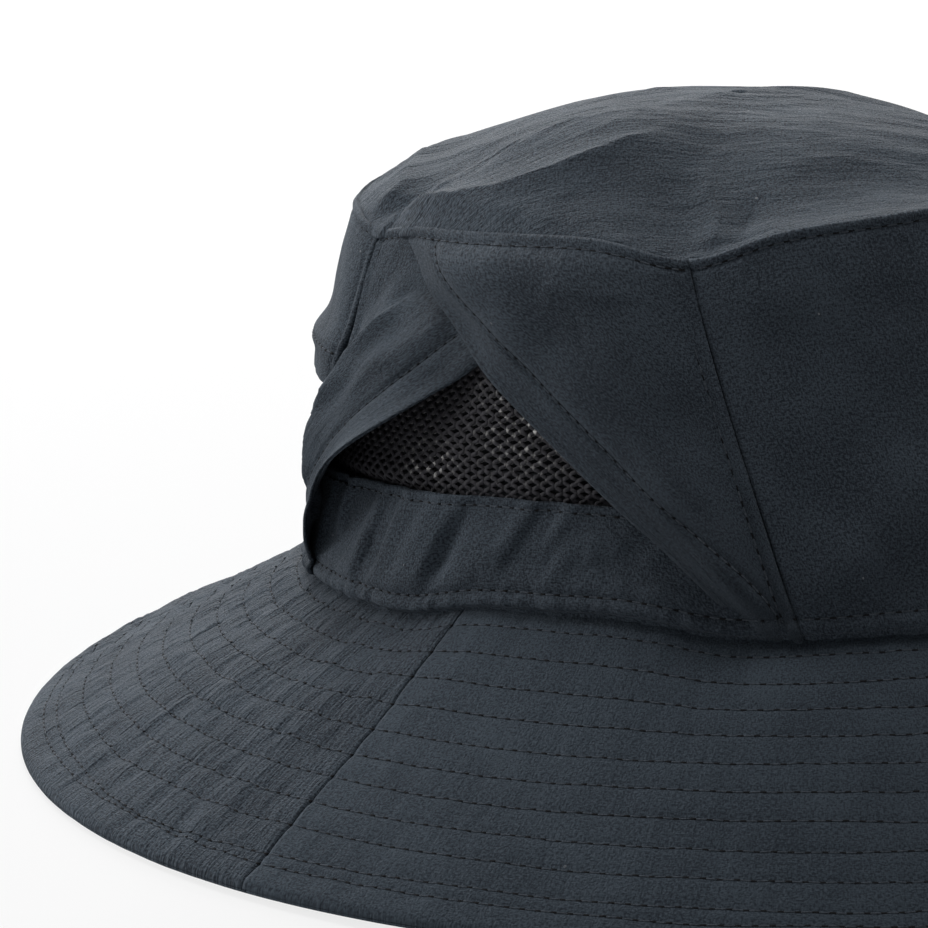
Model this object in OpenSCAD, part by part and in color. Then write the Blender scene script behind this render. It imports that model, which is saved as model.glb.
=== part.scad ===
// Wide-brimmed sun hat with crossed vent flaps over insect mesh, in millimetres.
// Z is up, the front of the hat faces -Y, and the brim's rim rests on Z = 0.

/* [Crown] */
// Half width of the crown at the brim seam, ear to ear
base_half_width = 86; // [80:1:92]
// Half length of the crown at the brim seam, front to back
base_half_length = 100; // [94:1:108]
// Half width of the crown at the tip seam
tip_half_width = 70; // [62:1:78]
// Half length of the crown at the tip seam
tip_half_length = 82; // [74:1:90]
// Height of the crown wall at the two sides
side_height = 72; // [64:1:80]
// Height of the crown wall at the front and the back
front_height = 76; // [66:1:86]
// Outward swell of the crown wall at half its height
wall_swell = 2; // [0:0.5:5]
// How far the tip seam is drawn down at each corner of a vent
corner_dip = 4.5; // [0:0.5:7]
// Half width of that dip, in degrees round the crown
corner_spread = 9; // [5:1:14]
// Rise of the domed tip above its seam
tip_rise = 16; // [10:1:22]
// Share of that rise which the tip's front half loses towards its seam
tip_front_slack = 0.75; // [0:0.05:0.9]
// Backward lean of the crown, in degrees
crown_lean = 4; // [0:0.5:6]

/* [Brim] */
// Height of the brim seam above the rim, at the middle of the hat
seam_height = 42; // [34:1:48]
// Width of the brim along its slope
brim_width = 70; // [62:1:84]
// Width of the flat edge that the rim rests on
rim_land = 3; // [1:0.5:6]

/* [Vents] */
// Half width of a side vent at the brim seam, in degrees round the crown
vent_half_base = 42; // [39:1:48]
// Half width of a side vent at the tip seam, in degrees round the crown
vent_half_tip = 30; // [29:1:36]
// Where a side flap's free edge meets the brim seam, in degrees from the side
flap_foot = 35; // [30:1:38]
// Where the front flap's free edge meets the tip seam, in degrees past the side
front_flap_head = 22; // [16:1:26]
// Where the rear flap's free edge meets the tip seam, in degrees past the side
rear_flap_head = 28; // [22:1:28]
// Height of the panel below the mesh in a side vent
vent_base_height = 23; // [16:1:28]
// How far the rear flap's free edge stands off the crown
rear_puff = 9; // [4:0.5:12]
// How far the lifting part of a side flap's hem reaches in from its edge, in degrees
side_hem_reach = 13; // [9:1:15]
// Height of the back flap's free edge above the brim seam
back_flap_drop = 40; // [34:1:46]
// Height of the back panel's top edge above the brim seam
back_panel_height = 48; // [47:1:54]
// How far the back flap's free edge stands off the crown
back_puff = 4; // [2:0.5:8]
// Half width of the lifting part of the back flap's hem, in degrees
back_hem_half = 24; // [16:1:28]
// Height of the lifting part of the back flap's hem
back_hem_height = 20; // [12:1:24]

/* [Mesh] */
// Gaps across each mesh insert
mesh_gaps_across = 12; // [6:1:14]
// Gaps up each mesh insert
mesh_gaps_up = 6; // [3:1:7]
// Share of the mesh pitch that is open
mesh_open = 0.62; // [0.4:0.02:0.75]

/* [Cloth] */
// Thickness of the crown cloth
cloth = 0.8; // [0.5:0.1:1]
// Thickness of the mesh inserts
mesh_cloth = 0.6; // [0.4:0.1:0.8]
// Thickness of each of the brim's three layers
brim_layer = 0.7; // [0.4:0.1:1]
// Thickness of the seam bindings and the sweatband
tape = 0.8; // [0.5:0.1:1]
// Height of the sweatband
sweatband_height = 28; // [20:1:34]
// Height of the binding inside the tip seam
tip_binding_height = 7; // [5:0.5:10]
// Width of the bindings inside the upright seams
side_binding_width = 9; // [6:0.5:12]
// Gap between layers that lie on each other
layer_gap = 0.5; // [0.4:0.05:0.8]
// Gap between edges that are sewn together
seam_gap = 0.3; // [0.2:0.05:0.6]
// Gap along the fold of a lifting hem
fold_gap = 0.8; // [0.6:0.05:1.2]
// Gap past each end of a lifting hem
hem_end_gap = 1.2; // [0.8:0.1:2]

/* [Hidden] */

// Directions round the crown, in degrees
RIGHT = 180;
FRONT = 270;
BACK = 90;

// Cloth colours
SHELL = [0.13, 0.15, 0.18];
LINING = [0.10, 0.11, 0.13];
NET = [0.06, 0.06, 0.07];

// Layers of the crown, as offsets of their inner faces from the wall's own surface
panel_layer = 0;
flap_layer = cloth + layer_gap;
inner_layer = -layer_gap - cloth;
mesh_layer = -layer_gap - mesh_cloth;
lining_layer = inner_layer - layer_gap - tape;

// Shape of the tip: the power of its dome, and its overhang past the wall
dome_power = 3;
tip_overhang = flap_layer + cloth;
mid_height = (side_height + front_height) / 2;

// How a side flap's free edge bows on its way up: 1 is a straight line on the wall
edge_bow = 1.38;
// Shares of the wall's height at which the flaps' lifting hems start and end
front_hem_span = [0.26, 0.76];
rear_hem_span = [0.14, 0.50];
// Share of the wall's height above which the rear flap lies flat under the front one
rear_flat_above = 0.62;
// Lifting hems end where they have this share of their full reach
hem_end_share = 0.15;

// Steps of the sheets' grids
wall_steps = 8;
brim_steps = 3;
brim_columns = 36;
flap_step = 0.05;
flap_columns = 11;
hem_steps = 8;
hem_columns = 4;
panel_columns = 18;
ring_step = 7.5;

brim_stack = 3 * brim_layer + 2 * seam_gap;
half_turn = 180;

// General functions
function mix(low, high, share) = low + (high - low) * share;
function ease(share) = let (s = max(0, min(1, share))) s * s * (3 - 2 * s);
function steps(low, high, count) = [for (i = [0 : count]) mix(low, high, i / count)];

// Oval of the crown at a share of the wall's height: half width and half length
function wall_axes(k) =
    let (swell = wall_swell * 4 * k * (1 - k))
    [mix(base_half_width, tip_half_width, k) + swell, mix(base_half_length, tip_half_length, k) + swell];

function oval_normal(angle, axes) =
    let (n = [axes[1] * cos(angle), axes[0] * sin(angle)])
    n / norm(n);

// Wall height: low along the two vents, rising to the front and the back, drawn down at the vents' corners
function wall_height(angle) =
    let (
        from_side = acos(abs(cos(angle))),
        from_corner = (from_side - vent_half_tip) / corner_spread
    )
    mix(side_height, front_height, ease((from_side - vent_half_tip) / (90 - vent_half_tip)))
    - corner_dip * exp(-from_corner * from_corner);

function share_of_height(height, angle) = height / wall_height(angle);

// Point of the crown wall before it leans: direction, share of height, offset outwards
function wall_point(angle, k, offset) =
    let (axes = wall_axes(k), n = oval_normal(angle, axes))
    [axes[0] * cos(angle) + n[0] * offset, axes[1] * sin(angle) + n[1] * offset, k * wall_height(angle)];

// The crown leans back about the ear-to-ear line and stands on the brim
function leaned(p) = [
    p[0],
    p[1] * cos(crown_lean) + p[2] * sin(crown_lean),
    p[2] * cos(crown_lean) - p[1] * sin(crown_lean) + seam_height
];

// Inner edge of the brim, under the crown's layers
function brim_edge(angle) = leaned(wall_point(angle, 0, inner_layer));
function brim_angle(angle) = asin(brim_edge(angle)[2] / brim_width);
function brim_foot_height(angle) =
    brim_edge(angle)[2] - seam_gap - brim_stack / cos(brim_angle(angle));
function brim_slope_run(angle) =
    sqrt(pow(brim_width - rim_land, 2) - pow(brim_foot_height(angle), 2));

// The hat is centred front to back over its rim
rim_front = brim_edge(FRONT)[1] - brim_slope_run(FRONT) - rim_land;
rim_back = brim_edge(BACK)[1] + brim_slope_run(BACK) + rim_land;
centre_shift = -(rim_front + rim_back) / 2;

function placed(p) = leaned(p) + [0, centre_shift, 0];

// Point of the brim: row 0 at the rim, 1 at the land's inner edge, 2 at the crown; depth above its underside
function brim_point(angle, row, depth) =
    let (
        edge = brim_edge(angle),
        n = oval_normal(angle, wall_axes(0)),
        run = brim_slope_run(angle),
        up = max(0, row - 1),
        out = row < 1 ? mix(run + rim_land, run, row) : mix(run, 0, up),
        rise = depth * mix(1, 1 / cos(brim_angle(angle)), up)
    )
    [
        edge[0] + n[0] * out,
        edge[1] + n[1] * out + centre_shift,
        brim_foot_height(angle) * up + rise
    ];

// Point of the tip before it leans: direction, share of the way out, height above its underside
function tip_point(angle, out, lift) =
    let (
        axes = wall_axes(1),
        n = oval_normal(angle, axes),
        slack = 1 - tip_front_slack * out * max(0, -sin(angle)),
        rim_height = mix(mid_height, wall_height(angle), out * out)
    )
    [
        (axes[0] * cos(angle) + n[0] * tip_overhang) * out,
        (axes[1] * sin(angle) + n[1] * tip_overhang) * out,
        rim_height + tip_rise * slack * (1 - pow(out, dome_power)) + seam_gap + lift
    ];

// Free edges and seams of a side vent, in degrees from the side towards the front, at a share of height
function seam_edge(k) = mix(vent_half_base, vent_half_tip, k);
function front_edge(k) = mix(flap_foot, -front_flap_head, pow(k, edge_bow));
function rear_edge(k) = mix(-flap_foot, rear_flap_head, pow(k, edge_bow));

// Degrees that span a length round the crown on one level
function degrees_of(length, k) = length / wall_axes(k)[0] * 180 / PI;

// Outward puff of the rear flap: full at its free edge, none at its seam or above the crossing
function rear_puff_at(k, share) =
    let (up = max(0, min(1, k / rear_flat_above)))
    rear_puff * pow(share, 2) * pow(sin(half_turn * up), 0.8);

// Reach of a lifting hem in from its edge, at a share of height, full in the middle of its span
function hem_reach(k, span) =
    let (far = (2 * k - span[0] - span[1]) / (span[1] - span[0]))
    side_hem_reach * max(0, 1 - far * far);

// The part of a hem's span where its reach is worth a piece of its own
function hem_part(span) =
    let (half = (span[1] - span[0]) / 2 * sqrt(1 - hem_end_share), middle = (span[0] + span[1]) / 2)
    [middle - half, middle + half];

// Rows of the fixed part of a side flap: [share of height, reach of the cut that its hem lies in]
function flap_rows(span) =
    let (
        part = hem_part(span),
        gap = share_of_height(hem_end_gap, RIGHT),
        cut = [span[0] - gap, span[1] + gap]
    )
    concat(
        [for (k = steps(0, part[0] - gap, ceil((part[0] - gap) / flap_step))) [k, 0]],
        [for (k = steps(part[0], part[1], hem_steps)) [k, hem_reach(k, cut) + degrees_of(fold_gap, k)]],
        [for (k = steps(part[1] + gap, 1, ceil((1 - part[1] - gap) / flap_step))) [k, 0]]
    );

// Points of the flaps: degrees from the side, share of height, offset of the face in its own layer
function front_flap_point(b, k, face) = wall_point(RIGHT + b, k, flap_layer + face);
function rear_flap_point(b, k, face) =
    let (share = (b + seam_edge(k)) / (rear_edge(k) + seam_edge(k)))
    wall_point(RIGHT + b, k, panel_layer + rear_puff_at(k, share) + face);
function back_flap_point(c, k, face) =
    let (
        top = 1,
        low = share_of_height(back_flap_drop, BACK),
        share = (top - k) / (top - low),
        side = c / (90 - vent_half_tip)
    )
    wall_point(BACK + c, k, flap_layer + back_puff * share * share * (1 - side * side) + face);

// Faces of a closed sheet between an outer and an inner grid of points
function flat(grid) = [for (row = grid) for (p = row) p];
function quad(a, b, c, d) = [[a, b, c], [a, c, d]];

// Sheet between two grids whose rows go up and whose columns go anticlockwise seen from above
module sheet(outer, inner, ring = false) {
    cols = len(outer[0]);
    top = len(outer) - 1;
    end = cols - 1;
    function out(i, j) = i * cols + j % cols;
    function in(i, j) = len(outer) * cols + out(i, j);
    faces = [
        for (j = [0 : ring ? end : end - 1]) each concat(
            [for (i = [0 : top - 1]) each quad(out(i, j), out(i + 1, j), out(i + 1, j + 1), out(i, j + 1))],
            [for (i = [0 : top - 1]) each quad(in(i, j), in(i, j + 1), in(i + 1, j + 1), in(i + 1, j))],
            quad(out(0, j), out(0, j + 1), in(0, j + 1), in(0, j)),
            quad(out(top, j + 1), out(top, j), in(top, j), in(top, j + 1))
        ),
        for (i = ring ? [] : [0 : top - 1]) each concat(
            quad(out(i + 1, 0), out(i, 0), in(i, 0), in(i + 1, 0)),
            quad(out(i, end), out(i + 1, end), in(i + 1, end), in(i, end))
        )
    ];
    polyhedron(concat(flat(outer), flat(inner)), faces, convexity = 8);
}

// Net between two grids: a cell whose row and column are both odd is a gap
module net(outer, inner) {
    rows = len(outer);
    cols = len(outer[0]);
    function out(i, j) = i * cols + j;
    function in(i, j) = rows * cols + out(i, j);
    function open(i, j) =
        i < 0 || j < 0 || i > rows - 2 || j > cols - 2 || (i % 2 == 1 && j % 2 == 1);
    faces = [
        for (i = [0 : rows - 2]) for (j = [0 : cols - 2]) if (!open(i, j))
            let (n = i + 1, m = j + 1)
            each concat(
                quad(out(i, j), out(n, j), out(n, m), out(i, m)),
                quad(in(i, j), in(i, m), in(n, m), in(n, j)),
                open(i - 1, j) ? quad(out(i, j), out(i, m), in(i, m), in(i, j)) : [],
                open(n, j) ? quad(out(n, m), out(n, j), in(n, j), in(n, m)) : [],
                open(i, j - 1) ? quad(out(n, j), out(i, j), in(i, j), in(n, j)) : [],
                open(i, m) ? quad(out(i, m), out(n, m), in(n, m), in(i, m)) : []
            )
    ];
    polyhedron(concat(flat(outer), flat(inner)), faces, convexity = 12);
}

// Shares along a net: bars and gaps in turn, with a bar at each end
function net_shares(gaps) =
    let (pitch = 1 / (gaps + 1 - mesh_open), bar = pitch * (1 - mesh_open))
    [for (i = [0 : gaps]) each [i * pitch, i * pitch + bar]];

// Sheet of the wall: rows of [share of height, first angle, last angle], from one layer's inner face
module wall_sheet(levels, columns, layer, thickness, ring = false) {
    function grid(offset) = [
        for (level = levels) [
            for (u = columns) placed(wall_point(mix(level[1], level[2], u), level[0], offset))
        ]
    ];
    sheet(grid(layer + thickness), grid(layer), ring);
}

// Crown
module crown_tip() {
    around = [0 : ring_step : 359];
    rings = [1, 0.94, 0.82, 0.62, 0.36];
    count = 360 / ring_step;
    top = len(rings) - 1;
    function skin(lift) = concat(
        [for (share = rings) for (a = around) placed(tip_point(a, share, lift))],
        [placed(tip_point(0, 0, lift))]
    );
    apex = len(rings) * count;
    function out(i, j) = i * count + j % count;
    function in(i, j) = apex + 1 + out(i, j);
    faces = [
        for (j = [0 : count - 1]) each concat(
            [for (i = [0 : top - 1]) each quad(out(i, j), out(i + 1, j), out(i + 1, j + 1), out(i, j + 1))],
            [for (i = [0 : top - 1]) each quad(in(i, j), in(i, j + 1), in(i + 1, j + 1), in(i + 1, j))],
            [[out(top, j), apex, out(top, j + 1)]],
            [[in(top, j + 1), 2 * apex + 1, in(top, j)]],
            quad(out(0, j), out(0, j + 1), in(0, j + 1), in(0, j))
        )
    ];
    color(SHELL) polyhedron(concat(skin(cloth), skin(0)), faces, convexity = 6);
}

module front_panel() {
    levels = [
        for (k = steps(0, 1, wall_steps))
            let (edge = seam_edge(k) + degrees_of(seam_gap, k))
            [k, RIGHT + edge, RIGHT + half_turn - edge]
    ];
    color(SHELL) wall_sheet(levels, steps(0, 1, panel_columns), panel_layer, cloth);
}

// Back: a lower panel, mesh above it, and a flap that hangs from the tip seam over both
function back_levels(low, high, count) = [
    for (k = steps(low, high, count))
        let (edge = seam_edge(k) + degrees_of(seam_gap, k))
        [k, edge, half_turn - edge]
];

module back_panel() {
    top = share_of_height(back_panel_height, BACK);
    color(SHELL) wall_sheet(back_levels(0, top, 5), steps(0, 1, panel_columns), panel_layer, cloth);
}

module back_mesh() {
    low = share_of_height(back_panel_height - tip_binding_height, BACK);
    function grid(offset) = [
        for (v = net_shares(mesh_gaps_up)) [
            for (u = net_shares(mesh_gaps_across))
                let (k = mix(low, 1, v), edge = seam_edge(k) + degrees_of(2 * seam_gap, k))
                placed(wall_point(mix(edge, half_turn - edge, u), k, offset))
        ]
    ];
    color(NET) net(grid(mesh_layer + mesh_cloth), grid(mesh_layer));
}

// Height of the fold above the back flap's free edge, at an angle from the middle of the back
function back_fold(c, half, height) = height * max(0, 1 - pow(c / half, 2));

module back_flap() {
    low = share_of_height(back_flap_drop, BACK);
    cut_half = back_hem_half + degrees_of(fold_gap, low);
    function bottom(c) = low + share_of_height(back_fold(c, cut_half, back_hem_height + fold_gap), BACK);
    function grid(face) = [
        for (v = steps(0, 1, 5)) [
            for (u = steps(-1, 1, 24))
                let (c0 = u * (90 - seam_edge(low)), k = mix(bottom(c0), 1, v))
                placed(back_flap_point(u * (90 - seam_edge(k) - degrees_of(seam_gap, k)), k, face))
        ]
    ];
    color(SHELL) sheet(grid(cloth), grid(0));
}

module back_flap_hem() {
    low = share_of_height(back_flap_drop, BACK);
    half = back_hem_half * sqrt(1 - hem_end_share);
    function grid(face) = [
        for (v = steps(0, 1, 3)) [
            for (c = steps(-half, half, 12))
                let (top = low + share_of_height(back_fold(c, back_hem_half, back_hem_height), BACK))
                placed(back_flap_point(c, mix(low, top, v), face))
        ]
    ];
    color(SHELL) sheet(grid(cloth), grid(0));
}

// Right vent, and the left one as its mirror image
module right_base_panel() {
    top = share_of_height(vent_base_height, RIGHT);
    levels = [for (k = steps(0, top, 3)) [k, RIGHT - seam_edge(k), RIGHT + seam_edge(k)]];
    color(SHELL) wall_sheet(levels, steps(0, 1, 16), inner_layer, cloth);
}

module right_mesh() {
    low = share_of_height(vent_base_height + seam_gap, RIGHT);
    function grid(offset) = [
        for (v = net_shares(mesh_gaps_up)) [
            for (u = net_shares(mesh_gaps_across))
                let (k = mix(low, 1, v), edge = seam_edge(k) - degrees_of(seam_gap, k))
                placed(wall_point(RIGHT + mix(-edge, edge, u), k, offset))
        ]
    ];
    color(NET) net(grid(mesh_layer + mesh_cloth), grid(mesh_layer));
}

module right_rear_flap() {
    function grid(face) = [
        for (row = flap_rows(rear_hem_span))
            let (k = row[0], seam = -seam_edge(k) + degrees_of(seam_gap, k), fold = rear_edge(k) - row[1])
            [for (u = steps(0, 1, flap_columns)) placed(rear_flap_point(mix(seam, fold, u), k, face))]
    ];
    color(SHELL) sheet(grid(cloth), grid(0));
}

module right_rear_hem() {
    part = hem_part(rear_hem_span);
    function grid(face) = [
        for (k = steps(part[0], part[1], hem_steps))
            let (edge = rear_edge(k), reach = hem_reach(k, rear_hem_span))
            [for (u = steps(1, 0, hem_columns)) placed(rear_flap_point(edge - reach * u, k, face))]
    ];
    color(SHELL) sheet(grid(cloth), grid(0));
}

module right_front_flap() {
    function grid(face) = [
        for (row = flap_rows(front_hem_span))
            let (k = row[0], seam = seam_edge(k) - degrees_of(seam_gap, k), fold = front_edge(k) + row[1])
            [for (u = steps(0, 1, flap_columns)) placed(front_flap_point(mix(fold, seam, u), k, face))]
    ];
    color(SHELL) sheet(grid(cloth), grid(0));
}

module right_front_hem() {
    part = hem_part(front_hem_span);
    function grid(face) = [
        for (k = steps(part[0], part[1], hem_steps))
            let (edge = front_edge(k), reach = hem_reach(k, front_hem_span))
            [for (u = steps(0, 1, hem_columns)) placed(front_flap_point(edge + reach * u, k, face))]
    ];
    color(SHELL) sheet(grid(cloth), grid(0));
}

module left() { mirror([1, 0, 0]) children(); }
module left_base_panel() { left() right_base_panel(); }
module left_mesh() { left() right_mesh(); }
module left_rear_flap() { left() right_rear_flap(); }
module left_rear_hem() { left() right_rear_hem(); }
module left_front_flap() { left() right_front_flap(); }
module left_front_hem() { left() right_front_hem(); }

// Half of one brim layer, from one side seam to the other
module brim_half(first, layer, tint) {
    low = layer * (brim_layer + seam_gap);
    half_seam = degrees_of(seam_gap, 0) / 2;
    angles = steps(first + half_seam, first + half_turn - half_seam, brim_columns);
    function grid(depth) = [
        for (row = concat([0], steps(1, 2, brim_steps))) [for (a = angles) brim_point(a, row, depth)]
    ];
    color(tint) sheet(grid(low + brim_layer), grid(low));
}

module brim_under_front() { brim_half(RIGHT, 0, SHELL); }
module brim_under_back() { brim_half(0, 0, SHELL); }
module brim_interlining_front() { brim_half(RIGHT, 1, LINING); }
module brim_interlining_back() { brim_half(0, 1, LINING); }
module brim_top_front() { brim_half(RIGHT, 2, SHELL); }
module brim_top_back() { brim_half(0, 2, SHELL); }

// Inside the crown
module sweatband() {
    function grid(offset) = [
        for (h = steps(seam_gap, sweatband_height, 2)) [
            for (a = [0 : ring_step : 359]) placed(wall_point(a, share_of_height(h, a), offset))
        ]
    ];
    color(LINING) sheet(grid(lining_layer + tape), grid(lining_layer), ring = true);
}

module tip_seam_binding() {
    function grid(offset) = [
        for (drop = [tip_binding_height, 0]) [
            for (a = [0 : ring_step : 359]) placed(wall_point(a, 1 - share_of_height(drop, a), offset))
        ]
    ];
    color(LINING) sheet(grid(lining_layer + tape), grid(lining_layer), ring = true);
}

// One upright binding: from the sweatband to the tip's binding, along a vent's front seam or its rear one
module seam_binding(way) {
    function low(angle) = share_of_height(sweatband_height + seam_gap, angle);
    function high(angle) = 1 - share_of_height(tip_binding_height + seam_gap, angle);
    middle = RIGHT + way * vent_half_tip;
    function grid(offset) = [
        for (v = steps(0, 1, 6))
            let (k = mix(low(middle), high(middle), v), half = degrees_of(side_binding_width / 2, k))
            [
                for (u = [-1 : 1])
                    let (angle = RIGHT + way * seam_edge(k) + u * half)
                    placed(wall_point(angle, mix(low(angle), high(angle), v), offset))
            ]
    ];
    sheet(grid(lining_layer + tape), grid(lining_layer));
}

module side_seam_bindings() {
    color(LINING) for (way = [-1, 1]) {
        seam_binding(way);
        left() seam_binding(way);
    }
}

crown_tip();
front_panel();
back_panel();
back_mesh();
back_flap();
back_flap_hem();
right_base_panel();
right_mesh();
right_rear_flap();
right_rear_hem();
right_front_flap();
right_front_hem();
left_base_panel();
left_mesh();
left_rear_flap();
left_rear_hem();
left_front_flap();
left_front_hem();
brim_top_front();
brim_top_back();
brim_interlining_front();
brim_interlining_back();
brim_under_front();
brim_under_back();
sweatband();
tip_seam_binding();
side_seam_bindings();
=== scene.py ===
"""Dresses the vented sun hat: crumpled nylon cloths, knitted nets, tapes and stitches."""

import math

import bpy
import numpy as np
from mathutils import Matrix, Vector


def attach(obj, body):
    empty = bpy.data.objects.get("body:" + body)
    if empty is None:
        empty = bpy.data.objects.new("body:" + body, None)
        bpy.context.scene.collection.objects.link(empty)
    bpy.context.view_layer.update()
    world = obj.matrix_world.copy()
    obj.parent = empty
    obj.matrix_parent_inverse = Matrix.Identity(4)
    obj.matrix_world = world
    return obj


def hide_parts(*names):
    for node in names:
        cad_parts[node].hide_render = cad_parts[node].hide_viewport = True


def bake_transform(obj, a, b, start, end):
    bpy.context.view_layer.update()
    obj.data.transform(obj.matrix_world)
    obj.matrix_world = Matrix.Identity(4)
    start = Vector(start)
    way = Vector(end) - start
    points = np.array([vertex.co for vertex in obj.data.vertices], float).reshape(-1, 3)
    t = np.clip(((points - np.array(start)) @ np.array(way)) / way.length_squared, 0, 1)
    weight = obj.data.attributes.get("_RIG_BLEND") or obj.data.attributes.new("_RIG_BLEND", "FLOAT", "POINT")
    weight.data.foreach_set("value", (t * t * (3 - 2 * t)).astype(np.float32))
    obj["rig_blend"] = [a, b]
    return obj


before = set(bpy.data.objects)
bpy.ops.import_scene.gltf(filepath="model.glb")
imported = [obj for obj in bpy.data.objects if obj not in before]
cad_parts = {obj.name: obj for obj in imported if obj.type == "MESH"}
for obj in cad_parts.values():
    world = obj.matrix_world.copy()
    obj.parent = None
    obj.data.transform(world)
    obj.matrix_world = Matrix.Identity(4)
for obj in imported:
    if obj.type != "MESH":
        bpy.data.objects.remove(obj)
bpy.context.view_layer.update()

MM = 0.001
MIRROR = np.array([-1.0, 1.0, 1.0])
NO_TRIANGLES = np.zeros((0, 3), int)

# Crown and brim, as in the solids
BASE_HALF_WIDTH = 86 * MM
BASE_HALF_LENGTH = 100 * MM
TIP_HALF_WIDTH = 70 * MM
TIP_HALF_LENGTH = 82 * MM
SIDE_HEIGHT = 72 * MM
FRONT_HEIGHT = 76 * MM
WALL_SWELL = 2 * MM
CORNER_DIP = 4.5 * MM
REAR_CORNER_DIP = 2.2 * MM
CORNER_SPREAD = 9
TIP_RISE = 16 * MM
TIP_FRONT_SLACK = 0.75
DOME_POWER = 3
CROWN_LEAN = math.radians(4)
SEAM_HEIGHT = 42 * MM
BRIM_WIDTH = 70 * MM
RIM_LAND = 3 * MM
BRIM_STACK = 2.7 * MM
SEAM_GAP = 0.3 * MM

# Vents and flaps: angles in degrees from the middle of the side, forwards positive
VENT_HALF_BASE = 42
VENT_HALF_TIP = 30
FLAP_FOOT = 35
FRONT_FLAP_HEAD = 22
REAR_FLAP_HEAD = 28
EDGE_BOW = 1.38
VENT_BASE_HEIGHT = 23 * MM
REAR_PUFF = 9 * MM
REAR_FLAT_ABOVE = 0.62
BACK_FLAP_DROP = 40 * MM
BACK_PANEL_HEIGHT = 48 * MM
BACK_PUFF = 4 * MM
SWEATBAND_HEIGHT = 28 * MM
TIP_BINDING_HEIGHT = 7 * MM
SIDE_BINDING_WIDTH = 9 * MM

# Cloth layers, as offsets from the wall's own surface
CLOTH = 0.8 * MM
LAYER_GAP = 0.5 * MM
FLAP_LAYER = CLOTH + LAYER_GAP
INNER_LAYER = -LAYER_GAP - CLOTH
NET_LAYER = -0.8 * MM
LINING_LAYER = -2.6 * MM
TAPE = 0.8 * MM
TAPE_THICK = 0.28 * MM
BRIM_TOP_THICK = 0.9 * MM
BRIM_UNDER_THICK = 0.7 * MM
BRIM_UNDER_DROP = 2.5 * MM
CANVAS_THICK = 0.3 * MM
CANVAS_DROP = 1.4 * MM

# Rolled edges
RIM_ROLL = 1.3 * MM
RIM_UNDER_ROLL = 1.1 * MM
TIP_ROLL = 1.5 * MM

# Radii at which lengths round the hat are measured
BRIM_MIDDLE = 118 * MM
BRIM_WEAVE_RADIUS = 128 * MM
WALL_WEAVE_RADIUS = 90 * MM
TIP_EDGE_RADIUS = 75 * MM

# Sewing
STITCH = 3 * MM
STITCH_RADIUS = 0.17 * MM
HEM_STITCH = 2.6 * MM
TIP_STITCH_DROP = 2.1 * MM
BASE_STITCH_RISE = 3.7 * MM
SEAM_STITCH = 2.3 * MM
PANEL_HEM_STITCH = 2.2 * MM
BASE_HEM_STITCH = 1.9 * MM
SEAM_SLIT = 0.04 * MM
HEM_WIDTH = 7.5 * MM
FIRST_BRIM_ROW = 4.05 * MM
BRIM_ROW_PITCH = 6.37 * MM
RIM_ROW = 5.5 * MM
SPIRAL_ROWS = 10

# Degrees by which the side seams of the brim's layers lie beside each other
SEAM_TURN = 0.4

# Nets: distance between strands, length of one swing, rings of a strand, the shortest strand, the shares of
# the wall's height that strands reach, and the share of the field that they cover laid flat
NET_PITCH = 1.56 * MM
NET_SWING = 2.2 * MM
NET_RINGS = 190
SHORTEST_STRAND = 3 * MM
SIDE_NET_TOP = 0.945
BACK_NET_TOP = 0.955
NET_COVER = 0.94

# Columns and rows of the cloths' grids, and points along rows of stitches
BRIM_COLUMNS = 577
BRIM_FLAT_ROWS = 112
RIM_ROWS = 9
CANVAS_ROWS = 25
TIP_COLUMNS = 640
TIP_FLAT_ROWS = 115
TIP_ROLL_ROWS = 7
WALL_ROW_COUNT = 105
FRONT_COLUMNS = 229
BACK_COLUMNS = 177
BACK_ROWS = 61
BACK_FLAP_COLUMNS = 201
BACK_FLAP_ROWS = 73
BASE_COLUMNS = 221
FLAP_COLUMNS = 97
TAPE_COLUMNS = 240
BRIM_LINE = 900
PANEL_LINE = 500
FLAP_LINE = 200

# Widths of wall pieces in their weave, in degrees
PANEL_DEGREES = 125
BASE_DEGREES = 84
FLAP_DEGREES = 50

# Shares of a fold's line over which it rises from its start and dies out at its end
FOLD_START = 0.12
FOLD_END = 0.45

# Least flat area of a cloth, as a share of its longest row times its longest column
LEAST_AREA_SHARE = 0.31


# General functions


def mix(low, high, share):
    """Straight blend from low at share 0 to high at share 1."""
    return low + (high - low) * share


def ease(share):
    """Smooth step: 3 s^2 - 2 s^3, with s kept from 0 to 1."""
    s = np.clip(share, 0, 1)
    return s * s * (3 - 2 * s)


def hump(x, middle, reach):
    """Bell curve of height 1: e to the minus square of the distance over the reach."""
    return np.exp(-(((x - middle) / reach) ** 2))


def unit(v):
    """Vectors divided by their own lengths."""
    return v / np.maximum(np.linalg.norm(v, axis=-1, keepdims=True), 1e-12)


def lattice(i, j, seed):
    """A steady pseudo-random value from -1 to 1 for each whole-numbered place, by mixing its bits."""
    h = (i + 9000) * 374761393 + (j + 9000) * 668265263 + seed * 974634777
    h = np.bitwise_and(h, 0xFFFFFFFF)
    h = np.bitwise_and((h ^ (h >> 13)) * 1274126177, 0xFFFFFFFF)
    return (np.bitwise_and(h ^ (h >> 16), 0xFFFF) / 32767.5) - 1


def noise(x, y, seed):
    """Smooth noise from -1 to 1: lattice values at the four corners of a cell, eased between."""
    x, y = np.broadcast_arrays(np.asarray(x, float), np.asarray(y, float))
    i = np.floor(x).astype(np.int64)
    j = np.floor(y).astype(np.int64)
    u = ease(x - i)
    v = ease(y - j)
    low = mix(lattice(i, j, seed), lattice(i + 1, j, seed), u)
    high = mix(lattice(i, j + 1, seed), lattice(i + 1, j + 1, seed), u)
    return mix(low, high, v)


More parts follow.
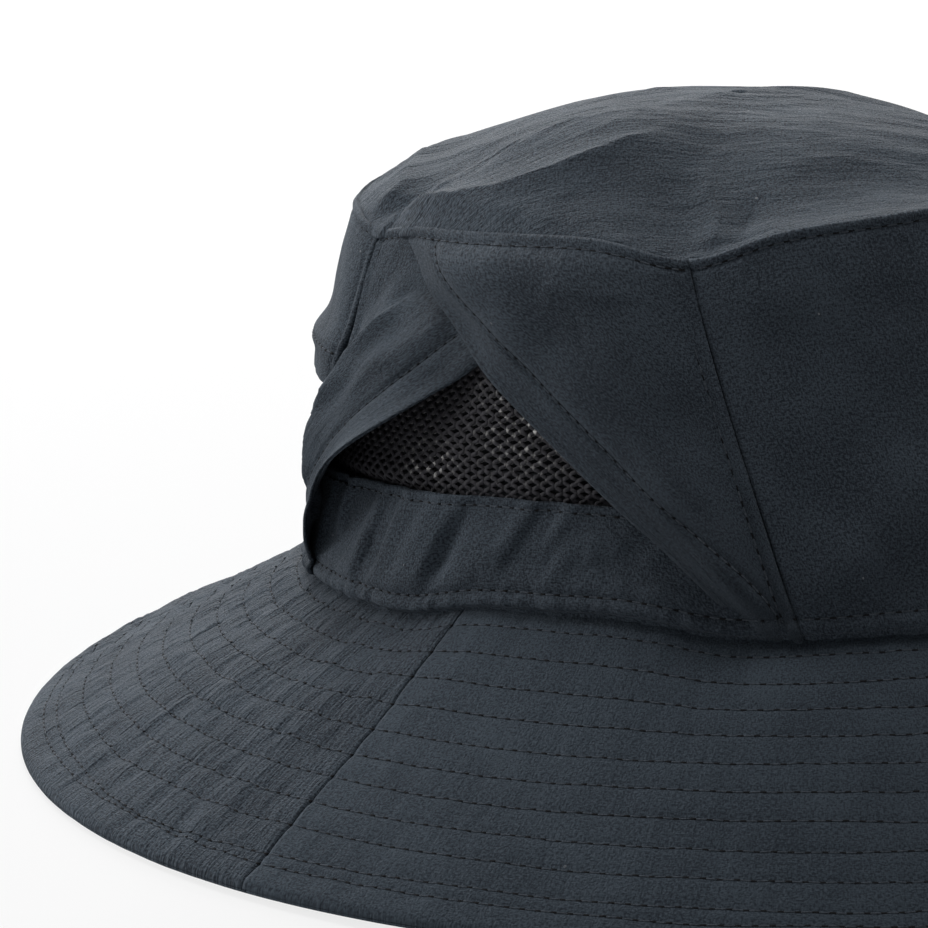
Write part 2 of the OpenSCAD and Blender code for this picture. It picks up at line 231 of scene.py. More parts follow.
def rumple(x, y, seed):
    """A noise, and a second one at twice the rate and half the height."""
    return noise(x, y, seed) + noise(x * 2, y * 2, seed + 31) / 2


def crease(x, y, seed):
    """Sharp crests where a noise crosses zero: 1 minus twice its size, never under 0."""
    return np.maximum(0, 1 - 2 * np.abs(noise(x, y, seed)))


def fold_along(x, y, path, height, reach, round_off=0.12):
    """Ridge over a bent line: height times e to the minus distance over reach, tapering at the line's ends.

    The distance is the least of those to the line's straight parts. A share of the reach rounds the crest."""
    nearest = np.full(np.shape(x), 1e9)
    place = np.zeros(np.shape(x))
    count = len(path) - 1
    for n in range(count):
        ax, ay = path[n]
        bx, by = path[n + 1]
        along = ((x - ax) * (bx - ax) + (y - ay) * (by - ay)) / ((bx - ax) ** 2 + (by - ay) ** 2)
        along = np.clip(along, 0, 1)
        away = np.hypot(x - mix(ax, bx, along), y - mix(ay, by, along))
        closer = away < nearest
        nearest = np.where(closer, away, nearest)
        place = np.where(closer, (n + along) / count, place)
    taper = ease(place / FOLD_START) * ease((1 - place) / FOLD_END)
    soft = np.sqrt(nearest**2 + (round_off * reach) ** 2)
    return height * taper * np.exp(-soft / reach)


def millimetres(*places):
    """Line through places given in millimetres."""
    return MM * np.array(places, float)


# Shape of the hat


def wall_axes(k):
    """Half width and half length of the crown's oval at a share of the wall's height, with a slight swell."""
    swell = WALL_SWELL * 4 * k * (1 - k)
    half_width = mix(BASE_HALF_WIDTH, TIP_HALF_WIDTH, k)
    return half_width + swell, mix(BASE_HALF_LENGTH, TIP_HALF_LENGTH, k) + swell


def oval_normal(angle, half_width, half_length):
    """Outward direction of the oval at an angle."""
    x = half_length * np.cos(np.radians(angle))
    y = half_width * np.sin(np.radians(angle))
    size = np.hypot(x, y)
    return x / size, y / size


def from_side(angle):
    """Degrees from the nearer side's middle, 0 to 90."""
    return np.degrees(np.arccos(np.clip(np.abs(np.cos(np.radians(angle))), 0, 1)))


def forward(angle):
    """Degrees from the nearer side's middle, forwards positive."""
    return from_side(angle) * np.where(np.sin(np.radians(angle)) < 0, 1, -1)


def wall_height(angle):
    """Height of the wall: low at the sides, easing up to the front and back, dipped at the vents' corners,
    less at the rear ones."""
    side = from_side(angle)
    rise = mix(SIDE_HEIGHT, FRONT_HEIGHT, ease((side - VENT_HALF_TIP) / (90 - VENT_HALF_TIP)))
    depth = np.where(forward(angle) > 0, CORNER_DIP, REAR_CORNER_DIP)
    return rise - depth * hump(side, VENT_HALF_TIP, CORNER_SPREAD)


def seam_wave(angle):
    """Rise of the brim seam over its level: a flat-topped bump beside each ear, low to either side."""
    b = forward(angle)
    return MM * (4.3 * np.exp(-(((b - 13) / 17) ** 4)) - 1.4 * hump(b, 10, 48))


def leaned(x, y, z):
    """The crown tips back about the line from ear to ear and stands at the seam's height."""
    x, y, z = np.broadcast_arrays(x, y, z)
    c = math.cos(CROWN_LEAN)
    s = math.sin(CROWN_LEAN)
    return np.stack([x, y * c + z * s, z * c - y * s + SEAM_HEIGHT], axis=-1)


def wall_place(angle, k, offset):
    """The wall's oval at a share of its height, moved outwards by an offset, before it leans."""
    half_width, half_length = wall_axes(k)
    nx, ny = oval_normal(angle, half_width, half_length)
    turn = np.radians(angle)
    return half_width * np.cos(turn) + nx * offset, half_length * np.sin(turn) + ny * offset


def brim_frame(angle):
    """Inner edge of the brim, its outward direction and how far it runs out."""
    x, y = wall_place(angle, 0.0, INNER_LAYER)
    edge = leaned(x, y, 0.0)
    slope = np.arcsin(edge[..., 2] / BRIM_WIDTH)
    foot = edge[..., 2] - SEAM_GAP - BRIM_STACK / np.cos(slope)
    run = np.sqrt((BRIM_WIDTH - RIM_LAND) ** 2 - foot**2) + RIM_LAND
    nx, ny = oval_normal(angle, BASE_HALF_WIDTH, BASE_HALF_LENGTH)
    return edge, nx, ny, run


FRONT_EDGE, _, _, FRONT_RUN = brim_frame(270.0)
BACK_EDGE, _, _, BACK_RUN = brim_frame(90.0)
CENTRE_SHIFT = -(FRONT_EDGE[1] - FRONT_RUN + BACK_EDGE[1] + BACK_RUN) / 2


def placed(x, y, z):
    """Leaned, and centred front to back over the rim."""
    return leaned(x, y, z) + np.array([0.0, CENTRE_SHIFT, 0.0])


def wall_point(angle, k, offset):
    """Point of the crown wall; its lower part follows the wave of the seam."""
    angle, k, offset = np.broadcast_arrays(angle, k, offset)
    x, y = wall_place(angle, k, offset)
    z = k * wall_height(angle) + seam_wave(angle) * (1 - ease(k / 0.4))
    return placed(x, y, z)


def seam_edge(k):
    """Half angle of a side vent between its two upright seams."""
    return mix(VENT_HALF_BASE, VENT_HALF_TIP, k)


def seam_slit(k):
    """Half the slit between the two cloths of an upright seam, as an angle."""
    return np.degrees(SEAM_SLIT / wall_axes(k)[0])


def front_edge(k):
    """Free edge of the front flap, drawn back a little halfway up."""
    return mix(FLAP_FOOT, -FRONT_FLAP_HEAD, np.maximum(k, 0) ** EDGE_BOW) - 1.4 * hump(k, 0.4, 0.3)


def rear_edge(k):
    """Free edge of the rear flap."""
    return mix(-FLAP_FOOT, REAR_FLAP_HEAD, np.maximum(k, 0) ** EDGE_BOW)


def round_length(degrees, k):
    """Length round the side of the crown that an angle spans at a share of height."""
    return np.radians(degrees) * wall_axes(k)[0]


def edge_slant(edge, k):
    """Share of the level distance to a slanting edge that is the distance square to it."""
    step = 0.02
    lean = round_length(edge(k + step) - edge(k - step), k) / (2 * step * SIDE_HEIGHT)
    return 1 / np.sqrt(1 + lean**2)


def tip_lip(drop, along, seed):
    """Roll under the tip seam, its stitched groove and small gathers, by distance down from the seam."""
    gathers = 0.16 * MM * noise(along / (2.2 * MM), drop / (5 * MM), seed) * hump(drop, 2.5 * MM, 3.5 * MM)
    roll = 0.22 * MM * hump(drop, 0.9 * MM, 0.9 * MM) - 0.46 * MM * hump(drop, TIP_STITCH_DROP, 0.55 * MM)
    return roll - 0.55 * MM * hump(drop, -0.1 * MM, 0.3 * MM) + gathers


def base_lip(rise, along, seed):
    """Roll over the brim seam, turned in at its foot, its stitched groove and gathers, by height over it."""
    gathers = 0.34 * MM * noise(along / (1.7 * MM), rise / (9 * MM), seed) * hump(rise, 2.1 * MM, 2.4 * MM)
    roll = 0.5 * MM * hump(rise, 2.0 * MM, 1.3 * MM) - 0.42 * MM * hump(rise, BASE_STITCH_RISE, 0.6 * MM)
    return roll - 1.8 * MM * (1 - ease((rise + 0.1 * MM) / (1.2 * MM))) + gathers


def flap_face(height):
    """Outer face of a front flap: thin where all layers are sewn into the brim seam, full 10 mm above it."""
    return mix(1.0 * MM, FLAP_LAYER + CLOTH, ease(height / (10 * MM)))


def wall_lips(angle, k, seed):
    """Both lips of a wall piece that reaches from the brim seam to the tip seam."""
    height = wall_height(angle)
    along = np.radians(angle) * BASE_HALF_WIDTH
    return tip_lip((1 - k) * height, along, seed) + base_lip(k * height, along, seed + 3)


def edge_round(distance, radius):
    """How far a folded edge falls back: a quarter circle over the last radius before the edge."""
    inside = np.clip(radius - distance, 0, radius)
    return -(radius - np.sqrt(radius**2 - inside**2))


# Meshes


def grid_normals(grid, ring=False):
    """Unit normals of a grid, from the cross product of its steps round and up."""
    if ring:
        across = np.roll(grid, -1, axis=1) - np.roll(grid, 1, axis=1)
    else:
        across = np.gradient(grid, axis=1)
    return unit(np.cross(across, np.gradient(grid, axis=0)))


def new_piece(name, points, quads, triangles, materials, uv=None, flat_from=None, material_of=None):
    """One mesh object at the origin: quads first, then triangles; faces past flat_from are flat shaded.

    material_of gives each face its material's number."""
    mesh = bpy.data.meshes.new(name)
    corners = np.concatenate([quads.ravel(), triangles.ravel()]).astype(np.int32)
    starts = np.concatenate([np.arange(len(quads)) * 4, quads.size + np.arange(len(triangles)) * 3])
    mesh.vertices.add(len(points))
    mesh.vertices.foreach_set("co", points.astype(np.float32).ravel())
    mesh.loops.add(len(corners))
    mesh.loops.foreach_set("vertex_index", corners)
    mesh.polygons.add(len(starts))
    mesh.polygons.foreach_set("loop_start", starts.astype(np.int32))
    smooth = np.ones(len(starts), bool)
    if flat_from is not None:
        smooth[flat_from:] = False
    mesh.polygons.foreach_set("use_smooth", smooth)
    for material in materials:
        mesh.materials.append(material)
    if material_of is not None:
        mesh.polygons.foreach_set("material_index", material_of.astype(np.int32))
    mesh.update(calc_edges=True)
    if uv is not None:
        layer = mesh.uv_layers.new(name="UVMap")
        layer.data.foreach_set("uv", uv[corners].astype(np.float32).ravel())
    piece = bpy.data.objects.new(name, mesh)
    bpy.context.scene.collection.objects.link(piece)
    return piece


def cells(rows, columns, first, ring, turned):
    """Corner numbers of a grid's quads, turned over for a face that looks inwards."""
    i, j = np.meshgrid(np.arange(rows - 1), np.arange(columns if ring else columns - 1), indexing="ij")
    near = first + i * columns + j
    side = first + i * columns + (j + 1) % columns
    order = [near, side, side + columns, near + columns]
    if turned:
        order = [near, near + columns, side + columns, side]
    return np.stack(order, axis=-1).reshape(-1, 4)


def edge_strip(fine, coarse):
    """Triangles from a fine row of points to a coarse row behind it: fans, and a link between fans."""
    step = (len(fine) - 1) // (len(coarse) - 1)
    fan = np.stack([fine[:-1], np.repeat(coarse[:-1], step), fine[1:]], axis=1)
    link = np.stack([fine[step::step], coarse[:-1], coarse[1:]], axis=1)
    return np.concatenate([fan, link])


def cloth_parts(outer, uv, thickness, steps, ring=False, pole=None):
    """Closed sheet as arrays: a fine outer grid, a coarser inner one a thickness behind it, and edge strips.

    Rows of the grid go up or inwards and columns go anticlockwise seen from the face. A ring joins its last
    column to its first, and a pole closes the last row in one point."""
    rows, columns = outer.shape[:2]
    coarse = outer[:: steps[0], :: steps[1]]
    inner = coarse - grid_normals(coarse, ring) * thickness
    low_rows, low_columns = inner.shape[:2]
    first = rows * columns
    points = [outer.reshape(-1, 3), inner.reshape(-1, 3)]
    uvs = [uv.reshape(-1, 2), uv[:: steps[0], :: steps[1]].reshape(-1, 2)]
    quads = [cells(rows, columns, 0, ring, False), cells(low_rows, low_columns, first, ring, True)]
    triangles = []
    fine = np.arange(first).reshape(rows, columns)
    back = first + np.arange(low_rows * low_columns).reshape(low_rows, low_columns)
    smooth_triangles = 0
    if pole is not None:
        top = first + low_rows * low_columns
        points += [np.array([pole[0]]), np.array([pole[0] - [0, 0, thickness]])]
        uvs += [np.array([pole[1]]), np.array([pole[1]])]
        last = fine[-1]
        behind = back[-1]
        triangles.append(np.stack([last, np.roll(last, -1), np.full(columns, top)], axis=1))
        triangles.append(np.stack([np.roll(behind, -1), behind, np.full(low_columns, top + 1)], axis=1))
        smooth_triangles = columns + low_columns
    if ring:
        fine = np.concatenate([fine, fine[:, :1]], axis=1)
        back = np.concatenate([back, back[:, :1]], axis=1)
    triangles.append(edge_strip(fine[0], back[0]))
    if pole is None:
        triangles.append(edge_strip(fine[-1, ::-1], back[-1, ::-1]))
    if not ring:
        triangles.append(edge_strip(fine[:, -1], back[:, -1]))
        triangles.append(edge_strip(fine[::-1, 0], back[::-1, 0]))
    quads = np.concatenate(quads)
    flat_from = len(quads) + smooth_triangles
    return np.concatenate(points), quads, np.concatenate(triangles), np.concatenate(uvs), flat_from


def cloth(name, outer, uv, thickness, steps, material, ring=False, pole=None):
    """One closed sheet as a piece of its own."""
    points, quads, triangles, uvs, flat_from = cloth_parts(outer, uv, thickness, steps, ring, pole)
    return new_piece(name, points, quads, triangles, [material], uvs, flat_from)


def mirrored(grid):
    """The same grid on the hat's other side: x turned round, and the columns' order with it."""
    return grid[:, ::-1] * MIRROR


def grid_area(grid):
    """Area of a grid: half the length of the cross product of each cell's diagonals."""
    across = grid[1:, 1:] - grid[:-1, :-1]
    back = grid[1:, :-1] - grid[:-1, 1:]
    return float(np.linalg.norm(np.cross(across, back), axis=-1).sum() / 2)


def grid_span(grid):
    """Longest row and longest column of a grid, the size of the cloth that it was cut from."""
    across = np.linalg.norm(np.diff(grid, axis=1), axis=-1).sum(axis=1).max()
    up = np.linalg.norm(np.diff(grid, axis=0), axis=-1).sum(axis=0).max()
    return float(across), float(up)


# Materials


def set_inputs(tree, node, inputs):
    """Gives each input of a node its value, or a link from another node's output."""
    for name, value in inputs.items():
        if isinstance(value, bpy.types.NodeSocket):
            tree.links.new(value, node.inputs[name])
        else:
            node.inputs[name].default_value = value


def add_node(tree, kind, inputs, **settings):
    """Outputs of a new shader node with its settings and inputs."""
    node = tree.nodes.new("ShaderNode" + kind)
    for name, value in settings.items():
        setattr(node, name, value)
    set_inputs(tree, node, inputs)
    return node.outputs


def combined(tree, operation, first, second):
    """Output of a math node on two numbers or outputs."""
    return add_node(tree, "Math", {0: first, 1: second}, operation=operation)["Value"]


def ramped(tree, amount, low, dark, high, pale):
    """Colour from dark at a low amount to pale at a high one."""
    ramp = tree.nodes.new("ShaderNodeValToRGB")
    ends = ramp.color_ramp.elements
    for n, (place, colour) in enumerate(((low, dark), (high, pale))):
        ends[n].position = place
        ends[n].color = (*colour, 1)
    tree.links.new(amount, ramp.inputs["Fac"])
    return ramp.outputs["Color"]


def flecked(tree, colour, amount, fleck):
    """Colour with an amount of a paler one mixed in."""
    inputs = {"Factor": amount, "A": colour, "B": (*fleck, 1)}
    return add_node(tree, "Mix", inputs, data_type="RGBA")["Result"]


def bumped(tree, height, strength, distance):
    """Normal bent by the slopes of a height."""
    inputs = {"Strength": strength, "Distance": distance, "Height": height}
    return add_node(tree, "Bump", inputs)["Normal"]


def new_material(name):
    """A material with its node tree and Principled shader."""
    material = bpy.data.materials.new(name)
    material.use_nodes = True
    tree = material.node_tree
    return material, tree, tree.nodes["Principled BSDF"]


def grain_group():
    """Crumpled close weave on a vector in metres: thread bumps from two stretched noises at right angles,
    crinkles from two bent noises, long streaks up the second axis, a slow change of tone, and sparse lint."""
    group = bpy.data.node_groups.new("crumpled_weave", "ShaderNodeTree")
    socket = group.interface.new_socket
    socket(name="Vector", in_out="INPUT", socket_type="NodeSocketVector")
    for name in ("Thread", "Crinkle", "Streak"):
        socket(name=name, in_out="INPUT", socket_type="NodeSocketFloat")
    for name in ("Height", "Tone", "Lint"):
        socket(name=name, in_out="OUTPUT", socket_type="NodeSocketFloat")
    given = group.nodes.new("NodeGroupInput").outputs

    def stretched(scale):
        return add_node(group, "Mapping", {"Scale": scale, "Vector": given["Vector"]})["Vector"]

    def sample(scale, detail, distortion=0.0):
        inputs = {"Vector": stretched(scale), "Scale": 1.0, "Detail": detail, "Distortion": distortion}
        return add_node(group, "TexNoise", inputs)["Fac"]

    def total(first, second):
        return combined(group, "ADD", first, second)

    def times(first, second):
        return combined(group, "MULTIPLY", first, second)

    weave = total(sample((3000, 1500, 1500), 1), sample((1500, 3000, 1500), 1))
    bent = sample((420, 420, 420), 2, 0.4)
    wide = sample((110, 110, 110), 2, 0.3)
    crinkle = times(total(times(wide, 2.2), times(bent, 0.8)), given["Crinkle"])
    lines = total(sample((620, 90, 90), 2, 0.25), sample((1250, 160, 160), 1, 0.2))
    streaks = times(lines, given["Streak"])
    slow = times(sample((55, 55, 55), 5), 0.3)
    cell = add_node(group, "TexVoronoi", {"Vector": stretched((110, 110, 110)), "Scale": 1.0})
    found = {
        "Height": total(times(weave, given["Thread"]), total(crinkle, streaks)),
        "Tone": total(slow, times(weave, 0.65)),
        "Lint": combined(group, "LESS_THAN", cell["Distance"], 0.03),
    }
    set_inputs(group, group.nodes.new("NodeGroupOutput"), found)
    return group


GRAIN = grain_group()
LINT = (0.35, 0.36, 0.38)
# Pale colour of the net's painted glints: painted light that stands for light seen through the holes
PAINTED_GLINT = (0.85, 0.84, 0.82)


def woven(name, dark, pale, thread, crinkle, streak, roughness=0.8, lint=0.0):
    """Matt woven cloth: tone from the weave's slow change, bumps from threads and crinkles, faint sheen."""
    material, tree, shader = new_material(name)
    where = add_node(tree, "UVMap", {}, uv_map="UVMap")["UV"]
    weave = {"Vector": where, "Thread": thread, "Crinkle": crinkle, "Streak": streak}
    grain = add_node(tree, "Group", weave, node_tree=GRAIN)
    colour = ramped(tree, grain["Tone"], 0.66, dark, 0.94, pale)
    if lint:
        colour = flecked(tree, colour, combined(tree, "MULTIPLY", grain["Lint"], lint), LINT)
    looks = {
        "Base Color": colour,
        "Normal": bumped(tree, grain["Height"], 1.0, 1.0),
        "Roughness": roughness,
        "Specular IOR Level": 0.12,
        "Sheen Weight": 0.04,
        "Sheen Roughness": 0.45,
        "Sheen Tint": (0.8, 0.9, 1.0, 1),
    }
    set_inputs(tree, shader, looks)
    return material


def yarn(name, dark, pale, scale, roughness, painted_glint=None):
    """Thread: noise along its own place changes its tone, with fine twisted bumps. With a painted glint
    colour it is paler where its painted_glint attribute says: painted light that stands for light coming
    through."""
    material, tree, shader = new_material(name)
    where = add_node(tree, "TexCoord", {})["Object"]
    twist = add_node(tree, "TexNoise", {"Vector": where, "Scale": scale, "Detail": 3})["Fac"]
    colour = ramped(tree, twist, 0.35, dark, 0.7, pale)
    if painted_glint:
        amount = add_node(tree, "Attribute", {}, attribute_name="painted_glint")["Fac"]
        colour = flecked(tree, colour, amount, painted_glint)
    looks = {
        "Base Color": colour,
        "Normal": bumped(tree, twist, 0.6, 0.0001),
        "Roughness": roughness,
        "Specular IOR Level": 0.15,
    }
    set_inputs(tree, shader, looks)
    return material


NYLON = (0.017, 0.022, 0.030), (0.067, 0.085, 0.106)
SMOOTH_NYLON = (0.022, 0.029, 0.039), (0.061, 0.079, 0.099)
CROWN_CLOTH = woven("crown_nylon", *NYLON, 2.0e-4, 4.6e-4, 8e-5, lint=0.5)
TIP_CLOTH = woven("tip_nylon", *NYLON, 2.6e-4, 4.4e-4, 3.4e-4, lint=0.5)
BRIM_BACK_CLOTH = woven("brim_back_nylon", *NYLON, 2.4e-4, 2.4e-4, 5.0e-4, lint=0.3)
BRIM_FRONT_CLOTH = woven("brim_front_nylon", *SMOOTH_NYLON, 1.6e-4, 2.2e-4, 1.2e-4, lint=0.3)
TAPE_CLOTH = woven("twill_tape", (0.008, 0.009, 0.011), (0.013, 0.015, 0.018), 1.2e-4, 5e-5, 5e-5)
STIFF_CLOTH = woven("brim_canvas", (0.05, 0.05, 0.05), (0.09, 0.09, 0.09), 1.5e-4, 5e-5, 5e-5, 0.85)
THREAD = yarn("sewing_thread", (0.045, 0.054, 0.066), (0.098, 0.115, 0.138), 2500, 0.8)
# Near-black colour of the patches between stitches: painted shade of the needle holes
HOLE_SHADE = yarn("needle_hole_shade", (0.002, 0.0023, 0.003), (0.005, 0.0055, 0.007), 2500, 0.9)
NET_YARN = yarn("net_yarn", (0.018, 0.0175, 0.0205), (0.040, 0.039, 0.046), 900, 0.7, PAINTED_GLINT)


# Stitches


def sewn_row(surface, us, vs, pitch=STITCH):
    """Places of a row's stitches on a surface: even steps of length along the row, with the row's direction
    and the surface's normal at each, and the gaps after them. A row is a line of the surface's parameters."""
    line = surface(us, vs)
    length = np.concatenate([[0], np.cumsum(np.linalg.norm(np.diff(line, axis=0), axis=-1))])
    count = max(1, int(length[-1] / pitch))
    middle = (np.arange(count) + 0.5) * length[-1] / count

    def place(step):
        return np.interp(middle + step, length, us), np.interp(middle + step, length, vs)

    u, v = place(0)
    ahead = surface(*place(0.35 * pitch))
    behind = surface(*place(-0.35 * pitch))
    centre = (ahead + behind + surface(u, v)) / 3
    step = 1e-3 * max(1e-3, float(np.ptp(us) + np.ptp(vs)))
    around = surface(u + step, v) - surface(u - step, v)
    up = surface(u, v + step) - surface(u, v - step)
    gap = surface(*place(pitch / 2))
    return centre, unit(ahead - behind), unit(np.cross(around, up)), gap


def hexagon_tube(stations, radii):
    """Corners and quads of a six-sided tube along x with closed ends, each end two quads."""
    turn = np.radians(np.arange(6) * 60)
    ring = np.stack([np.zeros(6), np.cos(turn), np.sin(turn)], axis=1)
    points = np.concatenate([ring * [0, r, r] + [x, 0, 0] for x, r in zip(stations, radii)])
    count = len(stations)
    near = np.array([[3, 2, 1, 0], [5, 4, 3, 0]])
    far = (count - 1) * 6 + np.array([[0, 1, 2, 3], [0, 3, 4, 5]])
    return points, np.concatenate([cells(count, 6, 0, True, False), near, far])


def stitches(name, rows):
    """One mesh of stitches and of dark patches of painted shade between them, for the needle holes: a small
    closed tube at each place, its ends drawn in, laid along the row and half sunk in the cloth."""
    centre, along, normal, gap = (np.concatenate(part) for part in zip(*rows))
    side = np.cross(normal, along)
    thread = hexagon_tube((-0.5, -0.32, 0.32, 0.5), (0.5, 1, 1, 0.5))
    # Flat dark patch between two stitches: painted shade of a needle hole
    shade_patch = hexagon_tube((-0.5, 0.5), (0.8, 0.8))
    thread_size = [0.66 * STITCH, STITCH_RADIUS, 0.85 * STITCH_RADIUS]
    shade_patch_size = [0.42 * STITCH, 0.30 * MM, 0.10 * MM]
    points = []
    faces = []
    first = 0
    for (shape, quads), place, size, lift in (
        (thread, centre, thread_size, 0.06 * MM),
        (shade_patch, gap, shade_patch_size, 0.02 * MM),
    ):
        shape = shape * size
        seat = place + normal * lift
        spread = seat[:, None] + along[:, None] * shape[:, 0:1]
        spread = spread + side[:, None] * shape[:, 1:2] + normal[:, None] * shape[:, 2:3]
        offset = first + np.arange(len(place)) * len(shape)
        points.append(spread.reshape(-1, 3))
        faces.append((quads[None] + offset[:, None, None]).reshape(-1, 4))
        first += len(place) * len(shape)
    material_of = np.concatenate([np.zeros(len(faces[0])), np.ones(len(faces[1]))])
    points = np.concatenate(points)
    faces = np.concatenate(faces)
    return new_piece(name, points, faces, NO_TRIANGLES, [THREAD, HOLE_SHADE], material_of=material_of)


def own_side(rows, turn):
    """Rows of stitches as they are, or turned over to the hat's other side."""
    return [tuple(part * MIRROR for part in row) for row in rows] if turn else rows


# Brim


def rim_lift(angle):
    """How far the rim stands off the floor: most at the back, a little beside the right ear."""
    away = np.abs((angle - 80 + 180) % 360 - 180)
    return MM * (5.2 * hump(away, 0, 24) + 1.4 * hump(angle % 360, 212, 40))


def brim_row_distance(row, angle):
    """Distance of a stitched row from the crown; the last spiral row swings out to the rim's at one side."""
    wander = 0.25 * MM * noise(angle / 9.0, row * 7.3, 5)
    if row == SPIRAL_ROWS:
        return BRIM_WIDTH - RIM_ROW + wander
    drift = 2.2 * MM * hump(angle % 360, 166, 14) if row == SPIRAL_ROWS - 1 else 0.0
    return FIRST_BRIM_ROW + BRIM_ROW_PITCH * row + drift + wander


def brim_sheet(angle, s, drop):
    """The brim before its relief: a straight run from the seam down to the rim, a drop below its top."""
    edge, nx, ny, run = brim_frame(angle)
    share = s / BRIM_WIDTH
    rim = 2.5 * MM + rim_lift(angle)
    z = mix(edge[..., 2] - SEAM_GAP, rim, share) + seam_wave(angle) * (1 - ease(s / (34 * MM))) - drop
    x = edge[..., 0] + nx * run * share
    y = edge[..., 1] + CENTRE_SHIFT + ny * run * share
    return np.stack(np.broadcast_arrays(x, y, z), axis=-1)


def brim_relief(angle, s, seed):
    """Height over the plain brim: rows drawn in along the stitches, cloth full between them, fine radial
    puckers that are strongest behind the side seams, broad ripples, and a ditch at each side seam."""
    rear = ease((np.sin(np.radians(angle)) + 0.12) / 0.3)
    strength = mix(0.35, 1.1, rear)
    arc = np.radians(angle) * BRIM_MIDDLE
    rows = sum(hump(s, brim_row_distance(row, angle), 0.85 * MM) for row in range(SPIRAL_ROWS + 1))
    wobble = 1.2 * MM * noise(arc / (9 * MM), s / (7 * MM), seed + 2)
    fine = noise((arc + wobble) / (2.3 * MM), s / (8.5 * MM), seed)
    broad = noise((arc + wobble) / (5.2 * MM), s / (17 * MM), seed + 7)
    sharp = crease((arc + wobble) / (3.4 * MM), s / (9 * MM), seed + 9)
    crepe = crease((arc + wobble) / (1.9 * MM), s / (6 * MM), seed + 21)
    pucker = 0.15 * fine + 0.34 * broad + 0.30 * sharp + 0.10 * crepe
    ripple = 0.5 * rumple(arc / (45 * MM), s / (38 * MM), seed + 13)
    ditch = -0.35 * hump(np.sin(np.radians(angle)) * BRIM_MIDDLE, 0, 0.35 * MM)
    return MM * (-0.28 * rows + strength * pucker + ripple * 0.6 + ditch)


def brim_face(angle, s, way, drop, seed, least, most, roll):
    """One face of the brim at a drop below its top: its puckers, less at the rim, and its rolled rim, both
    standing out upwards or downwards."""
    angle, s = np.broadcast_arrays(angle, s)
    inside = BRIM_WIDTH - s
    relief = brim_relief(angle, s, seed) * mix(least, most, ease(inside / (5 * MM)))
    point = brim_sheet(angle, s, drop)
    point[..., 2] += way * (relief + edge_round(inside, roll))
    return point


def brim_top(angle, s):
    """Upper face of the brim."""
    return brim_face(angle, s, 1, 0.0, 11, 0.15, 1, RIM_ROLL)


def brim_top_inward(angle, inward):
    """Upper face by the distance counted negative outwards, so that its stitches face up."""
    return brim_top(angle, -inward)


def brim_under(angle, s):
    """Lower face of the brim, with its own puckers."""
    return brim_face(angle, s, -1, BRIM_UNDER_DROP, 47, 0.1, 0.6, RIM_UNDER_ROLL)


def brim_canvas(angle, s):
    """Stiff layer between the two faces."""
    return brim_sheet(angle, s, CANVAS_DROP)


def brim_rows():
    """Distances from the crown for a grid's rows, even over the brim and close together at the rim."""
    turn = np.radians(np.linspace(90, 0, RIM_ROWS))
    rim = BRIM_WIDTH - RIM_ROLL * (1 - np.cos(turn))
    flat = np.linspace(-1.2 * MM, BRIM_WIDTH - RIM_ROLL, BRIM_FLAT_ROWS, endpoint=False)
    return np.concatenate([flat, rim])


def brim_uv(angle, s):
    """Cloth coordinates of the brim: length round it, and distance from the crown."""
    return np.stack(np.broadcast_arrays(np.radians(angle) * BRIM_WEAVE_RADIUS, s), axis=-1)


def make_brim():
    """Both halves of the brim: upper cloth, under cloth, stiff canvas and the rows of stitches. The three
    layers' side seams lie a little beside each other, so that none shows through."""
    rows = brim_rows()
    stiff_rows = np.linspace(BRIM_WIDTH - 4 * MM, 0, CANVAS_ROWS)
    slit = math.degrees(SEAM_SLIT / (120 * MM))
    for half, start, material in (("back", 0.0, BRIM_BACK_CLOTH), ("front", 180.0, BRIM_FRONT_CLOTH)):
        angles = np.linspace(start + slit, start + 180 - slit, BRIM_COLUMNS)
        under_angles = angles[::2] + SEAM_TURN
        stiff_angles = angles[::8] - SEAM_TURN
        shell = material, 4, "shell_cloth"
        stiff = STIFF_CLOTH, 1, "interlining"
        for name, node, surface, columns, away, thick, (stuff, step, slot) in (
            ("top_cloth", "top", brim_top, angles, rows[::-1], BRIM_TOP_THICK, shell),
            ("under_cloth", "under", brim_under, under_angles, rows, BRIM_UNDER_THICK, shell),
            ("canvas", "interlining", brim_canvas, stiff_angles, stiff_rows, CANVAS_THICK, stiff),
        ):
            across, away = np.meshgrid(columns, away)
            grid = surface(across, away)
            piece = cloth(f"brim_{half}_{name}", grid, brim_uv(across, away), thick, (step, step), stuff)
            finish_piece(piece, grid, [f"brim_{node}_{half}"], "stretched")
        line = np.linspace(start + 0.2, start + 179.8, BRIM_LINE)
        lines = [brim_row_distance(row, line) for row in range(SPIRAL_ROWS + 1)]
        top = [sewn_row(brim_top_inward, line, -away) for away in lines]
        under = [sewn_row(brim_under, line, away) for away in lines]
        for side, sewn in (("top", top), ("under", under)):
            finish_piece(stitches(f"brim_{half}_{side}_stitches", sewn))


# Crown


def wall_face(angle):
    """Outward reach of the cloth that meets the tip seam at an angle: flaps lie over the panels."""
    b = forward(angle)
    front = ease((b - VENT_HALF_TIP) / 14)
    gap = ease((b + VENT_HALF_TIP - 1) / 2) * ease((-FRONT_FLAP_HEAD - b + 1) / 2)
    return FLAP_LAYER + CLOTH - FLAP_LAYER * np.maximum(front, gap)


def tip_place(angle, share, overhang):
    """Level place on the tip: the wall's top oval, widened by an overhang and scaled by a share."""
    nx, ny = oval_normal(angle, TIP_HALF_WIDTH, TIP_HALF_LENGTH)
    turn = np.radians(angle)
    x = (TIP_HALF_WIDTH * np.cos(turn) + nx * overhang) * share
    y = (TIP_HALF_LENGTH * np.sin(turn) + ny * overhang) * share
    return x, y


def tip_path(*places):
    """Line on the tip through places given as angle and share of the way out."""
    return [tuple(float(v) for v in tip_place(angle, share, 0.0)) for angle, share in places]


